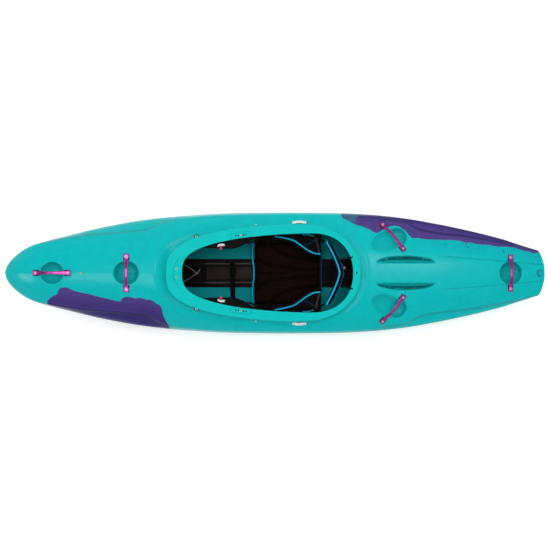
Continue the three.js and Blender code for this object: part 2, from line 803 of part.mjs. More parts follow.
// A group that holds one fitting's pieces in the fitting's own frame
function fitting(matrix) {
  const group = new THREE.Group();
  matrix.decompose(group.position, group.quaternion, group.scale);
  kayak.add(group);
  return group;
}

// A bolt stands with its head's seat at a local place
function addBolt(name, size, look, group, x, y, z) {
  const mesh = addPiece(name, boltShape(size), look, group);
  mesh.position.set(x, y, z + seatGap);
  return mesh;
}

function drilledStrap(size, bolt) {
  let body = solid(strapHandle(size));
  const identity = new THREE.Matrix4();
  for (const end of [-1, 1]) {
    const x = (end * size.spacing) / 2;
    body = body.subtract(drill(identity, x, 0, bolt.shank + boltPlay, -landDepth, landClear));
  }
  return body;
}

// Grab handles and security bars with a bolt at each end
function addStrap(name, frame, size, bolt, look) {
  const group = fitting(frame);
  addPiece(name, drilledStrap(size, bolt), look, group);
  const top = seatGap + size.foot;
  addBolt(`${name}_bolt_a`, bolt, 'steel', group, -size.spacing / 2, 0, top);
  addBolt(`${name}_bolt_b`, bolt, 'steel', group, size.spacing / 2, 0, top);
}
handles.forEach(({ name }, i) => addStrap(name, handleFrames[i], grabSize, handleBolt, 'anodised'));
['security_bar_right', 'security_bar_left'].forEach((name, i) => {
  addStrap(name, barFrames[i], barSize, barBolt, 'steel');
});

// Single bolts on the deck
spotFrames.forEach((frame, i) => {
  const { name, size } = spotPlaces[i];
  addBolt(name, size, name === 'foredeck_screw' ? 'brass' : 'steel', fitting(frame), 0, 0, 0);
});

// Coaming bolts: two at the nose and one through each thigh brace's row of holes
for (const [side, hand] of [[1, 'right'], [-1, 'left']]) {
  const nose = fitting(rimFrame(noseBoltX, side * noseBoltY, 0));
  addBolt(`nose_bolt_${hand}`, rimBolt, 'steel', nose, 0, 0, 0);
  const place = rimFrame(braceBoltX, side * braceBoltY, side * adjustTaper);
  addBolt(`brace_bolt_${hand}`, rimBolt, 'steel', fitting(place), 0, 0, 0);
}

// Drain at the stern: a flanged bush in the deck and a plug that pulls out of it
const bushFlange = 17;
const bushFlangeThickness = 2.2;
const bushDepth = 9;
const plugStem = 10.7;
const plugCap = 14.5;
const plugCapThickness = 4;
const plugDepth = 8;
const bushBore = plugStem + boltPlay;

function revolved(profile, sides) {
  const geometry = new THREE.LatheGeometry(profile.map(([x, y]) => new THREE.Vector2(x, y)), sides);
  geometry.rotateX(Math.PI / 2);
  return geometry;
}

function addDrain() {
  const group = fitting(drainFrame);
  const neck = drainBore - boltPlay;
  const flangeTop = seatGap + bushFlangeThickness;
  addPiece('drain_bush', revolved([
    [bushBore, -bushDepth], [neck, -bushDepth], [neck, seatGap], [bushFlange, seatGap],
    [bushFlange, flangeTop], [bushBore, flangeTop], [bushBore, -bushDepth],
  ], drainSides), 'black', group);
  const capLow = flangeTop + seatGap;
  addPiece('drain_plug', revolved([
    [0, -plugDepth], [plugStem, -plugDepth], [plugStem, capLow], [plugCap, capLow],
    [plugCap, capLow + plugCapThickness / 2],
    [plugCap - plugCapThickness / 2, capLow + plugCapThickness], [0, capLow + plugCapThickness],
  ], drainSides), 'plug', group);
}
addDrain();

// Everything inside stands clear of the hull's inner surface by the seat gap
const insideClear = without(cavity(hullWall + seatGap), [
  ...dishes(hullWall + seatGap), ...lands(seatGap).pads,
]);

// Floor spine: a straight moulding along the keel with two rails for the seat
const spineFront = -560;
const spineRear = 400;
const spineHalf = 75;
const spineFlangeTop = 16;
const railOuter = 58;
const railInner = 42;
const railTop = 37;
const trackFloor = 26;
const trayRear = -407;
const traySlope = 22;

function spineBody() {
  const profile = (middle) => {
    const half = [[0, 0], [spineHalf, 0], [spineHalf, spineFlangeTop], [railOuter, spineFlangeTop],
      [railOuter, railTop], [railInner, railTop], [railInner, middle], [0, middle]];
    return [...half.slice(1, -1), ...half.slice(1, -1).reverse().map(([y, z]) => [-y, z])];
  };
  const ring = (x, middle) => profile(middle).map(([y, z]) => new THREE.Vector3(x, y, z));
  const trayTop = railTop - seatGap;
  const body = solid(loft([
    ring(spineFront, trayTop), ring(trayRear, trayTop), ring(trayRear + traySlope, trackFloor),
    ring(spineRear, trackFloor),
  ]));
  return body.intersect(insideClear);
}
const spine = spineBody();
addPiece('floor_spine', spine, 'black');

// Foam pillars that hold the deck off the floor at bow and stern
const bowPillarFrontShare = -0.463;
const bowPillarFront = hullLength * bowPillarFrontShare;
const bowPillarClear = 19;
const bowPillarHalf = 45;
const sternPillarFront = 337;
const sternPillarStep = 404;
const sternPillarRearShare = 0.4;
const sternPillarRear = hullLength * sternPillarRearShare;
const sternPillarHalf = 34;
const sternPillarNose = 115;
const sternPillarRise = 60;

// The footrest's place at rest, and how far it slides towards the bow
const footplateShare = -0.2593;
const footplateX = hullLength * footplateShare;
const footplateThickness = 6;
const footplateForward = 90;

function addPillars() {
  const bowPillarRear = footplateX - footplateThickness - footplateForward - bowPillarClear;
  const top = profileHeight + cutOverrun;
  const bow = sideways([[bowPillarFront, 0], [bowPillarRear, 0], [bowPillarRear, top],
    [bowPillarFront, top]], bowPillarHalf);
  addPiece('bow_pillar', solid(bow).intersect(insideClear), 'foam');
  const onSpine = railTop + seatGap * 2;
  const stern = sideways([[sternPillarFront, onSpine], [spineRear + seatGap, onSpine],
    [spineRear + seatGap, 0], [sternPillarRear, 0], [sternPillarRear, top],
    [sternPillarStep + sternPillarRise, top], [sternPillarStep, sternPillarNose],
    [sternPillarFront, sternPillarNose]], sternPillarHalf);
  addPiece('stern_pillar', solid(stern).intersect(insideClear), 'foam');
}
addPillars();

// Footrest: a plate across the bow that slides on two side rails, with a foam pad
const trackInner = 180;
const trackBreadth = 6;
const trackLow = 190;
const trackHeight = 25;
const trackForward = 140;
const trackAft = 160;
const trackFront = footplateX - trackForward;
const trackRear = footplateX + trackAft;
const trackFoot = 16;
const footpadThickness = 30;
const footPlay = 0.4;
const earReach = 6;
const earHeight = 7;
const earNeck = 8;
const footplateLowShare = 0.2;
const footplateHighShare = 0.8;
const footplateLow = profileHeight * footplateLowShare;
const footplateHigh = profileHeight * footplateHighShare;
const padCrownShare = 0.93;
const padEdgeShare = 0.7;
// Right halves of the plate's lower and upper edges and of the pad's outline:
// [share of the half breadth inside the ears, share of the plate's height]
const footplateLowerShares = [[0, 0], [0.56, 0], [0.85, 0.145], [1, 0.385]];
const footplateUpperShares = [[0.86, 0.82], [0.525, 0.957], [0, 1]];
const footpadShares = [[0, 0.043], [0.51, 0.043], [0.78, 0.18], [0.874, 0.402], [0.874, 0.64],
  [0.77, 0.786], [0.49, 0.906], [0, 0.944]];

function addFootrest() {
  const outer = trackInner + trackBreadth;
  const high = trackLow + trackHeight;
  const rail = upright([[trackFront, trackInner], [trackRear, trackInner], [trackRear, hullBeam / 2],
    [trackRear - trackFoot, hullBeam / 2], [trackRear - trackFoot, outer],
    [trackFront + trackFoot, outer], [trackFront + trackFoot, hullBeam / 2],
    [trackFront, hullBeam / 2]], trackLow, high);
  addPiece('foot_rail_right', solid(rail).intersect(insideClear), 'steel');
  addPiece('foot_rail_left', solid(mirrored(rail)).intersect(insideClear), 'steel');

  const shoulder = outer + earReach;
  const slotIn = trackInner - footPlay;
  const neck = slotIn - earNeck;
  const sized = (shares) => shares.map(([across, up]) => [
    neck * across, THREE.MathUtils.lerp(footplateLow, footplateHigh, up),
  ]);
  const bothSides = (half) => [...half, ...half.slice(1, -1).reverse().map(([y, z]) => [-y, z])];
  const outline = bothSides([
    ...sized(footplateLowerShares), [neck, trackLow - earHeight], [shoulder, trackLow - earHeight],
    [shoulder, high + earHeight], [neck, high + earHeight], ...sized(footplateUpperShares),
  ]);
  const ring = (x, points) => points.map(([y, z]) => new THREE.Vector3(x, y, z));
  let plate = solid(loft([ring(footplateX - footplateThickness, outline), ring(footplateX, outline)]));
  for (const side of [1, -1]) {
    const ys = [side * slotIn, side * (outer + footPlay)].sort((a, b) => a - b);
    plate = plate.subtract(solid(block(
      [footplateX - cutOverrun, ys[0], trackLow - footPlay],
      [footplateX + cutOverrun, ys[1], high + footPlay],
    )));
  }
  addPiece('footrest_plate', plate, 'black');
  const padLine = bothSides(sized(footpadShares));
  const middle = (footplateLow + footplateHigh) / 2;
  const drawn = padLine.map(([y, z]) => [y * padCrownShare, middle + (z - middle) * padCrownShare]);
  addPiece('footrest_pad', loft([
    ring(footplateX + seatGap, padLine), ring(footplateX + footpadThickness * padEdgeShare, padLine),
    ring(footplateX + footpadThickness, drawn),
  ]), 'foam');
}
addFootrest();

// Seat: a shell that slides on the spine's rails, with raised sides behind the thighs
const seatFront = -125;
const seatRear = 225;
const seatHalf = 205;
const seatSheet = 5;
const seatFloorHalf = 183;
const seatBottom = railTop + seatGap;
const seatTurnUp = 24;
const seatKeyDepth = 7;
const seatPlay = 0.5;
const seatSideDrop = 66;
const seatSideHeight = rimMiddleHeight - seatSideDrop;
// Rise of the shell's side at shares of its length, from its turned-up floor to its top
const seatSideShares = [[0, 0.06], [0.24, 0.06], [0.36, 0.49], [0.5, 1], [1, 1]];

function seatShell() {
  const rings = seatSideShares.map(([share, heightShare]) => {
    const x = THREE.MathUtils.lerp(seatFront, seatRear, share);
    const key = railInner - seatPlay;
    const low = seatBottom;
    const top = THREE.MathUtils.lerp(low + seatTurnUp, seatSideHeight, heightShare);
    const out = [[key, low], [seatFloorHalf, low], [seatHalf, low + seatTurnUp], [seatHalf, top]];
    const back = [[seatHalf - seatSheet, top], [seatHalf - seatSheet, low + seatTurnUp],
      [seatFloorHalf, low + seatSheet]];
    const half = [[key, low - seatKeyDepth], ...out, ...back];
    const whole = [...half, ...[...half].reverse().map(([y, z]) => [-y, z])];
    return whole.map(([y, z]) => new THREE.Vector3(x, y, z));
  });
  return loft(rings);
}
addPiece('seat_shell', seatShell(), 'black');

// Hip pads: wedges inside the shell's sides that thicken towards the back
const hipFront = -20;
const hipRear = 211;
const hipOuter = seatHalf - seatSheet - seatGap;
const hipLow = seatBottom + seatSheet + seatGap;
const hipDrop = 94;
const hipHigh = rimMiddleHeight - hipDrop;
const hipSoftRise = 16;
const hipDrawShare = 0.07;
// Inner face of a hip pad: [share of its length, share of the seat's half breadth]
const hipFaceShares = [[0, 0.9], [0.2, 0.86], [0.42, 0.79], [0.58, 0.67], [0.74, 0.545],
  [0.87, 0.475], [1, 0.46]];

const hipFace = (x) => seatHalf * along(hipFaceShares, (x - hipFront) / (hipRear - hipFront));

function hipPad() {
  const face = hipFaceShares.map(([share]) => {
    const x = THREE.MathUtils.lerp(hipFront, hipRear, share);
    return [x, hipFace(x)];
  });
  const outline = [...face, [hipRear, hipOuter], [hipFront, hipOuter]];
  const middle = [(hipFront + hipRear) / 2, hipOuter - hipSoftRise * 2];
  const turn = seatTurnUp - seatSheet + seatGap;
  const levels = [[hipLow, 0, turn], [hipLow + turn, 0, 0], [hipHigh - hipSoftRise, 0, 0],
    [hipHigh - hipSoftRise / 4, hipDrawShare, 0], [hipHigh, hipDrawShare * 2, 0]];
  return loft(levels.map(([z, draw, inset]) => outline.map(([x, y]) => new THREE.Vector3(
    THREE.MathUtils.lerp(x, middle[0], draw),
    Math.min(THREE.MathUtils.lerp(y, middle[1], draw), hipOuter - inset),
    z,
  ))), ['x', 'y']);
}
addPiece('hip_pad_right', hipPad(), 'cloth');
addPiece('hip_pad_left', mirrored(hipPad()), 'cloth');

// Seat pad: a crowned cushion with sewn channels that run in towards its back
const padFrontMiddle = -130;
const padFrontBow = 12;
const padRear = 224;
const padHalf = 168;
const padLow = seatBottom + seatSheet + seatGap;
const padThickness = 28;
const padEdge = 16;
const padThighRise = 13;
const padSideRise = 26;
const padChannel = 3;
const padChannelHalf = 7;
const padHipGap = 4;
const padFrontShare = 0.12;
const padRearShare = 0.08;
const padThighShare = 0.16;
const padOuterShare = 0.6;
const padRowShares = [0, 0.03, 0.1, 0.2, 0.3, 0.4, 0.52, 0.64, 0.76, 0.88, 0.97, 1];
// Sewn channels: [share of the pad's length, share of its half breadth]
const outerChannelShares = [[0, 1.05], [0.16, 1.02], [0.33, 0.73], [0.53, 0.53], [0.75, 0.43],
  [1, 0.39]];
const innerChannelShares = [[0, 0.56], [0.12, 0.36], [0.25, 0.24], [0.45, 0.18], [0.7, 0.13],
  [1, 0.11]];

function padRow(share) {
  const middleX = THREE.MathUtils.lerp(padFrontMiddle, padRear, share);
  const half = Math.min(padHalf, middleX > hipFront ? hipFace(middleX) - padHipGap : padHalf);
  const channels = [innerChannelShares, outerChannelShares]
    .map((table) => Math.min(along(table, share) * padHalf, half - padChannelHalf * 2));
  const places = [0];
  for (const y of channels) {
    const low = Math.max(y - padChannelHalf, places[places.length - 1] + seatGap);
    const bottom = Math.max(y, low + seatGap);
    places.push(low, bottom, Math.max(y + padChannelHalf, bottom + seatGap));
  }
  const lastPlace = places[places.length - 1];
  places.push(THREE.MathUtils.lerp(lastPlace, half, padOuterShare), half);
  const top = (y, i) => {
    const v = y / half;
    const ends = Math.min(1, share / padFrontShare, (1 - share) / padRearShare);
    const endCrown = Math.sqrt(Math.max(0, 1 - (1 - ends) ** 2));
    const crown = endCrown * Math.sqrt(Math.max(0, 1 - v ** 8));
    const thigh = padThighRise * Math.exp(-(((share - padThighShare) / padThighShare) ** 2));
    const side = padSideRise * v ** 4 * Math.max(0, 1 - share * 2);
    const groove = i === 2 || i === 5 ? padChannel : 0;
    return padLow + padEdge + (padThickness - padEdge + thigh + side - groove) * crown;
  };
  const right = places.map((y, i) => [y, top(y, i)]);
  const bow = (y) => padFrontBow * (1 - share) * Math.cos((y / padHalf) * Math.PI);
  const upper = [...[...right].reverse(), ...right.slice(1).map(([y, z]) => [-y, z])];
  const lower = [[-half, padLow], [half, padLow]];
  return [...upper, ...lower].map(([y, z]) => new THREE.Vector3(middleX + bow(y) / 2, y, z));
}
addPiece('seat_pad', loft(padRowShares.map(padRow)), 'cloth');

// Backrest: a padded band that wraps the lower back, tilting about its lower side fixings
const bandEndX = 233;
const bandMiddleX = 299;
const bandHalf = 162;
const bandThickness = 22;
const bandLowDrop = 156;
const bandLow = rimMiddleHeight - bandLowDrop;
const bandDrop = 18;
const bandHigh = rimMiddleHeight - bandDrop;
const bandEndLowDrop = 126;
const bandEndLow = rimMiddleHeight - bandEndLowDrop;
const bandEndDrop = 44;
const bandEndHigh = rimMiddleHeight - bandEndDrop;
const bandCrown = 5;
const bandBowPower = 1.35;
const bandSteps = 12;

function bandFront(y) {
  const bow = (Math.abs(y) / bandHalf) ** bandBowPower;
  return THREE.MathUtils.lerp(bandMiddleX, bandEndX, bow);
}

function bandSection(y) {
  const share = (Math.abs(y) / bandHalf) ** 2;
  const low = THREE.MathUtils.lerp(bandLow, bandEndLow, share);
  const high = THREE.MathUtils.lerp(bandHigh, bandEndHigh, share);
  const x = bandFront(y);
  const middle = (low + high) / 2;
  const c = bandCrown;
  return [[x + c, low], [x, low + c * 2], [x - c, middle], [x, high - c * 2], [x + c, high],
    [x + bandThickness - c, high], [x + bandThickness, high - c * 2],
    [x + bandThickness, low + c * 2], [x + bandThickness - c, low]]
    .map(([px, pz]) => new THREE.Vector3(px, y, pz));
}
const bandRings = [];
for (let i = 0; i <= bandSteps; i += 1) {
  bandRings.push(bandSection(THREE.MathUtils.lerp(-bandHalf, bandHalf, i / bandSteps)));
}
addPiece('backrest_band', loft(bandRings, ['x', 'z']), 'cloth');

// Lacing cord up and down the band's back, and the lock that grips it
const lacingRadius = 1.75;
const lacingDrop = 20;
const lacingWave = 10;
const lacingHalf = 128;
const lacingTurns = 5;
const lacingPoints = 41;
const lacingSteps = 56;
const lockY = 24;
const lockRadius = 6;
const lockHeight = 12;

function lacingSpot(y) {
  const share = (y + lacingHalf) / (lacingHalf * 2);
  const z = bandHigh - lacingDrop - (Math.abs(y) / bandHalf) ** 2 * (bandHigh - bandEndHigh)
    + lacingWave * Math.sin(share * lacingTurns * Math.PI * 2);
  return [bandFront(y) + bandThickness + lacingRadius + seatGap * 2, y, z];
}

function lacing() {
  const points = [];
  for (let i = 0; i < lacingPoints; i += 1) {
    const share = i / (lacingPoints - 1);
    points.push(lacingSpot(THREE.MathUtils.lerp(-lacingHalf, lacingHalf, share)));
  }
  return cordAlong(points, lacingRadius, lacingSteps);
}
addPiece('backrest_cord', lacing(), 'blueCord');
const lock = new THREE.CylinderGeometry(lockRadius, lockRadius, lockHeight, boltSides);
lock.rotateX(Math.PI / 2);
const [lockCordX, , lockZ] = lacingSpot(lockY);
lock.translate(lockCordX + lacingRadius + seatGap + lockRadius, lockY, lockZ);
addPiece('cord_lock', lock, 'white');

// Elastic straps from the band's back up to the rear of the coaming
const elasticBreadth = 8;
const elasticThickness = 2;
const elasticBandY = 58;
const elasticRimX = 363;
const elasticRimY = 80;
const elasticDrop = 1.3;
const elasticSeatShare = 0.4;
const elasticBandDrop = 56;
const elasticBandZ = rimMiddleHeight - elasticBandDrop;

function elastic() {
  const start = new THREE.Vector3(
    bandFront(elasticBandY - elasticBreadth / 2) + bandThickness + elasticThickness * elasticSeatShare,
    elasticBandY,
    elasticBandZ,
  );
  const end = new THREE.Vector3(
    elasticRimX,
    elasticRimY,
    rimHeight(elasticRimX) - flangeThickness - elasticDrop,
  );
  const middle = start.clone().lerp(end, 1 / 2);
  return ribbon([start, middle, end], new THREE.Vector3(0, 1, 0), elasticBreadth, elasticThickness);
}
addPiece('rear_elastic_right', elastic(), 'webbing');
addPiece('rear_elastic_left', mirrored(elastic()), 'webbing');

// Thigh braces: plates bolted through slots under the coaming's flange, so that they slide
// along the sloping rim, with a lip that turns down over the thigh
const braceFront = -372;
const braceRear = -112;
const braceSheet = 5;
const braceGap = 0.5;
const braceReach = 44;
const braceFold = 5;
const braceHold = 22;
const braceDrop = 18;
const braceTravel = 25;
const braceSlotHalf = 4;
// Shares of the reach into the cockpit, the hold under the flange and the lip's drop
const braceReachShares = [[0, 0.05], [0.16, 0.42], [0.354, 0.74], [0.585, 1], [0.76, 0.8],
  [0.89, 0.39], [1, 0.2]];
const braceHoldShares = [[0, 0.36], [0.3, 0.6], [0.6, 1], [1, 0.82]];
const braceDropShares = [[0, 0.33], [0.3, 0.8], [0.6, 1], [0.85, 0.7], [1, 0.33]];
const braceStepShares = [0, 0.16, 0.354, 0.47, 0.585, 0.68, 0.76, 0.89, 1];

const braceTop = (x) => rimHeight(x) - flangeThickness - braceGap;

function braceSection(share) {
  const x = THREE.MathUtils.lerp(braceFront, braceRear, share);
  const top = braceTop(x);
  const outer = cockpitHalf(x) + braceHold * along(braceHoldShares, share);
  const inner = cockpitHalf(x) - braceReach * along(braceReachShares, share);
  const low = top - braceDrop * along(braceDropShares, share);
  const under = top - braceSheet;
  const line = [[outer, top], [inner + braceFold, top], [inner, low],
    [inner + braceSheet / 2, low - braceSheet], [inner + braceFold * 2, under], [outer, under]];
  return line.map(([y, z]) => new THREE.Vector3(x, y, z));
}

function brace() {
  const plate = solid(loft(braceStepShares.map(braceSection)));
  const slotHalf = braceTravel + rimBolt.shank + boltPlay;
  const slot = block([-slotHalf, -braceSlotHalf, -landClear], [slotHalf, braceSlotHalf, landClear]);
  return geometryOf(plate.subtract(solid(slot, rimFrame(braceBoltX, braceBoltY, adjustTaper))));
}
addPiece('thigh_brace_right', brace(), 'black');
addPiece('thigh_brace_left', mirrored(brace()), 'black');

// Ratchets on the braces: a channel that holds the backrest's ladder strap
const ratchetX = -280;
const ratchetY = 135;
const ratchetLength = 40;
const ratchetHalf = 7.5;
const ratchetWall = 2;
const ratchetFloor = 1.5;
const ratchetHeight = 8;
const leverBarrel = 2;
const leverLength = 11;
const leverBreadth = 13;
const leverThickness = 2.5;
const leverShift = -4;
const ladderBreadth = 10;
const ladderThickness = 2;

function ratchetFrame() {
  const frame = rimFrame(ratchetX, ratchetY, adjustTaper);
  return lifted(frame, seatGap - flangeThickness - braceGap);
}

function ratchet() {
  const inside = ratchetHalf - ratchetWall;
  const outline = [[-ratchetHalf, 0], [ratchetHalf, 0], [ratchetHalf, ratchetHeight],
    [inside, ratchetHeight], [inside, ratchetFloor], [-inside, ratchetFloor], [-inside, ratchetHeight],
    [-ratchetHalf, ratchetHeight]];
  const ends = [-ratchetLength / 2, ratchetLength / 2];
  const body = loft(ends.map((x) => outline.map(([y, z]) => new THREE.Vector3(x, y, z))));
  return body.applyMatrix4(ratchetFrame());
}
addPiece('ratchet_right', ratchet(), 'steel');
addPiece('ratchet_left', mirrored(ratchet()), 'steel');

// Release levers, hinged along the ratchets' inner walls
function lever() {
  const barrelY = -ratchetHalf - seatGap - leverBarrel;
  const barrelZ = ratchetHeight - leverBarrel;
  const barrel = new THREE.CylinderGeometry(leverBarrel, leverBarrel, leverBreadth, cordSides);
  barrel.rotateZ(Math.PI / 2);
  barrel.translate(leverShift, barrelY, barrelZ);
  const tab = block(
    [leverShift - leverBreadth / 2, barrelY - leverLength, barrelZ - leverThickness / 2],
    [leverShift + leverBreadth / 2, barrelY, barrelZ + leverThickness / 2],
  );
  return geometryOf(solid(barrel).add(solid(tab))).applyMatrix4(ratchetFrame());
}
addPiece('release_right', lever(), 'release');
addPiece('release_left', mirrored(lever()), 'release');

// Ladder straps run from the ratchets back under the coaming to the backrest's ends
const ladderSag = 8;
const ladderTuck = 8;
const ladderDrop = 22;
const ladderReachShare = 1.2;

function ladder() {
  const frame = ratchetFrame();
  const height = ratchetFloor + seatGap + ladderThickness / 2;
  const inChannel = (x) => new THREE.Vector3(x, 0, height).applyMatrix4(frame);
  const overBrace = (x, y) => new THREE.Vector3(x, y, braceTop(x) + seatGap + height);
  const end = new THREE.Vector3(
    bandEndX - bandCrown - seatGap,
    bandHalf - ladderBreadth / 2,
    (bandEndLow + bandEndHigh) / 2,
  );
  const inside = cockpitHalf(braceRear) - braceHold - ladderSag;
  const underRim = (x) => new THREE.Vector3(
    x,
    cockpitHalf(x) + ladderTuck,
    rimHeight(x) - flangeThickness - ladderDrop,
  );
  const points = [
    inChannel(-ratchetLength * ladderReachShare),
    inChannel(ratchetLength * ladderReachShare),
    overBrace(braceBoltX, cockpitHalf(braceBoltX) - braceHold),
    overBrace(braceRear - braceFold * 5, inside),
    underRim(braceRear + braceReach),
    underRim((braceRear + bandEndX) / 2),
    underRim(bandEndX - bandHalf / 2),
    end,
  ];
  return ribbon(points, new THREE.Vector3(0, 1, 0), ladderBreadth, ladderThickness);
}
addPiece('ladder_strap_right', ladder(), 'black');
addPiece('ladder_strap_left', mirrored(ladder()), 'black');

// Gear strap over the spine, down to the floor, with its buckle
const gearStrapX = -243;
const gearStrapBreadth = 25;
const gearStrapThickness = 2;
const gearStrapFloorY = -132;
const gearStrapLandY = -106;
const buckleLow = -5;
const buckleHigh = 26;
const buckleHalf = 16;
const buckleHeight = 5;
const buckleBar = 5;
const buckleSlotShares = [0.22, 0.44, 0.56, 0.78];

function gearStrap() {
  const onRails = railTop + seatGap + gearStrapThickness / 2;
  const onFloor = hullWall + seatGap * 2 + gearStrapThickness / 2;
  const at = (y, z) => new THREE.Vector3(gearStrapX, y, z);
  const points = [at(railOuter, onRails), at(-railOuter - braceFold, onRails),
    at(gearStrapLandY, onFloor), at(gearStrapFloorY, onFloor)];
  return ribbon(points, new THREE.Vector3(1, 0, 0), gearStrapBreadth, gearStrapThickness);
}
addPiece('gear_strap', gearStrap(), 'webbing');

function buckle() {
  const low = railTop + gearStrapThickness + seatGap * 2;
  const body = solid(block([gearStrapX - buckleHalf, buckleLow, low],
    [gearStrapX + buckleHalf, buckleHigh, low + buckleHeight]));
  const slots = [[0, 1], [2, 3]].map((pair) => {
    const [from, to] = pair.map((i) => THREE.MathUtils.lerp(buckleLow, buckleHigh, buckleSlotShares[i]));
    return solid(block([gearStrapX - buckleHalf + buckleBar, from, 0],
      [gearStrapX + buckleHalf - buckleBar, to, low + buckleHeight * 2]));
  });
  return geometryOf(without(body, slots));
}
addPiece('gear_buckle', buckle(), 'black');

// Shock cord in a vee on the front tray, knotted at its point
const trayCordRadius = 2;
const trayCordSteps = 10;
const trayCordFront = -502;
const trayCordSide = 45;
const trayKnotX = -431;
const trayTailX = -415;
const trayTailY = 22;
const trayKnotRadius = 5;
const trayBowShare = 0.55;
const trayTailShare = 0.33;

function trayCord() {
  const height = railTop + trayCordRadius;
  const legMiddle = (trayCordFront + trayKnotX) / 2;
  const leg = (y) => cordAlong([
    [trayCordFront, y, height], [legMiddle, y * trayBowShare, height], [trayKnotX, 0, height],
  ], trayCordRadius, trayCordSteps);
  const tailMiddle = (trayKnotX + trayTailX) / 2;
  const tail = cordAlong([
    [trayKnotX, 0, height], [tailMiddle, trayTailY * trayTailShare, height],
    [trayTailX, trayTailY, height],
  ], trayCordRadius, trayCordSteps / 2);
  const knot = new THREE.CylinderGeometry(trayKnotRadius, trayKnotRadius, trayCordRadius * 2, cordSides);
  knot.rotateX(Math.PI / 2);
  knot.translate(trayKnotX, 0, height);
  return geometryOf(union([leg(trayCordSide), leg(-trayCordSide), tail, knot].map((g) => solid(g))));
}
addPiece('tray_cord', trayCord(), 'cord');

export default kayak;
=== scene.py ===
"""Looks of a whitewater kayak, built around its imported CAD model. Metres; +X to the stern."""

import json
import math

import bmesh
import bpy
import numpy as np
from mathutils import Matrix, Vector
from mathutils.bvhtree import BVHTree

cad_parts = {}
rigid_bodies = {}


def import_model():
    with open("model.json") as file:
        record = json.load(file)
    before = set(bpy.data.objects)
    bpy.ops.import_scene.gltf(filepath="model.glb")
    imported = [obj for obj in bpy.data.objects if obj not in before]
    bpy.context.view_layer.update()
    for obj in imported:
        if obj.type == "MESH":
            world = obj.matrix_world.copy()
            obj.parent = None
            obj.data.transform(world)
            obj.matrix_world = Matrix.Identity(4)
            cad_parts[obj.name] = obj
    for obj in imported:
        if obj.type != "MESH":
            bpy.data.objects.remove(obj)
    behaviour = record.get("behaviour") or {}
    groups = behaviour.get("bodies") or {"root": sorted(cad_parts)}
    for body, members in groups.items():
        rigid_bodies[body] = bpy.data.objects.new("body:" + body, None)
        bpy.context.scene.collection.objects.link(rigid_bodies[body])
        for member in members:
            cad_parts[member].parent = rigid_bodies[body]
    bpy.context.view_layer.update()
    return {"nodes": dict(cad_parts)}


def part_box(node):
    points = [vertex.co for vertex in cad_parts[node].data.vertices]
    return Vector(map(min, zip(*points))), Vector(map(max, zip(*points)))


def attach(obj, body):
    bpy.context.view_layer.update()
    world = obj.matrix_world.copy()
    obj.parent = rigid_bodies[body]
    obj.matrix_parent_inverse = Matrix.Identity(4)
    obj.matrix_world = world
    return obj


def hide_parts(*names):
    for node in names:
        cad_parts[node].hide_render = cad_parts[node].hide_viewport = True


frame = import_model()
MM = 0.001
HANDS = (("right", 1), ("left", -1))
X_AXIS, Y_AXIS, Z_AXIS = np.eye(3)

# The camera
camera = bpy.data.cameras.new("camera")
camera.sensor_width = 36
camera.lens = 47.75
camera_obj = bpy.data.objects.new("camera", camera)
camera_obj.location = (-0.0185, -0.010, 3.9)
bpy.context.scene.collection.objects.link(camera_obj)
bpy.context.scene.camera = camera_obj

# The boat's form, in mm
LENGTH, BEAM, TIP, PROFILE, WALL = 2700.0, 620.0, 300.0, 390.0, 6.0
BEAM_T = [(0, 0.335), (0.05, 0.462), (0.1, 0.582), (0.17, 0.74), (0.244, 0.864), (0.317, 0.937),
          (0.42, 0.99),
          (0.52, 1), (0.6, 0.994), (0.66, 0.974), (0.73, 0.916), (0.8, 0.814), (0.88, 0.663), (0.95, 0.5),
          (1, 0.375)]
KEEL_T = [(0, 0.52), (0.037, 0.482), (0.074, 0.385), (0.13, 0.267), (0.185, 0.172), (0.24, 0.097),
          (0.296, 0.038),
          (0.34, 0.008), (0.37, 0), (0.63, 0), (0.685, 0.012), (0.76, 0.056), (0.833, 0.123), (0.907, 0.21),
          (1, 0.346)]
SHEER_T = [(0, 0.73), (0.074, 0.7), (0.13, 0.64), (0.185, 0.585), (0.24, 0.54), (0.32, 0.487), (0.45, 0.44),
           (0.6, 0.423), (0.8, 0.425), (1, 0.435)]
DECK_T = [(0, 0.885), (0.037, 0.944), (0.074, 0.98), (0.13, 0.995), (0.185, 0.99), (0.24, 0.969),
          (0.275, 0.945),
          (0.3, 0.9), (0.36, 0.84), (0.45, 0.775), (0.56, 0.72), (0.655, 0.695), (0.7, 0.675), (0.78, 0.65),
          (0.86, 0.62), (0.93, 0.585), (1, 0.525)]
CREASE_T = [(0, 0.95), (0.08, 0.93), (0.137, 0.88), (0.172, 0.826), (0.221, 0.78), (0.2515, 0.781),
            (0.284, 0.885),
            (0.308, 0.924), (0.36, 0.95), (0.66, 0.95), (0.7, 0.94), (0.734, 0.92), (0.767, 0.81),
            (0.8, 0.79),
            (0.836, 0.816), (0.881, 0.844), (0.925, 0.86), (0.96, 0.9), (1, 0.97)]
RISE_T = [(0, 0.4), (0.137, 0.42), (0.221, 0.5), (0.284, 0.38), (0.36, 0.32), (0.68, 0.32), (0.734, 0.38),
          (0.8, 0.5),
          (0.925, 0.48), (1, 0.3)]
CHINE_T = [(0, 0.5), (0.1, 0.55), (0.25, 0.64), (0.38, 0.74), (0.62, 0.76), (0.8, 0.72), (1, 0.7)]
CROWN_T = [(0, 2.1), (0.25, 2.2), (0.34, 3.2), (0.62, 3.4), (0.72, 2.6), (1, 2.4)]


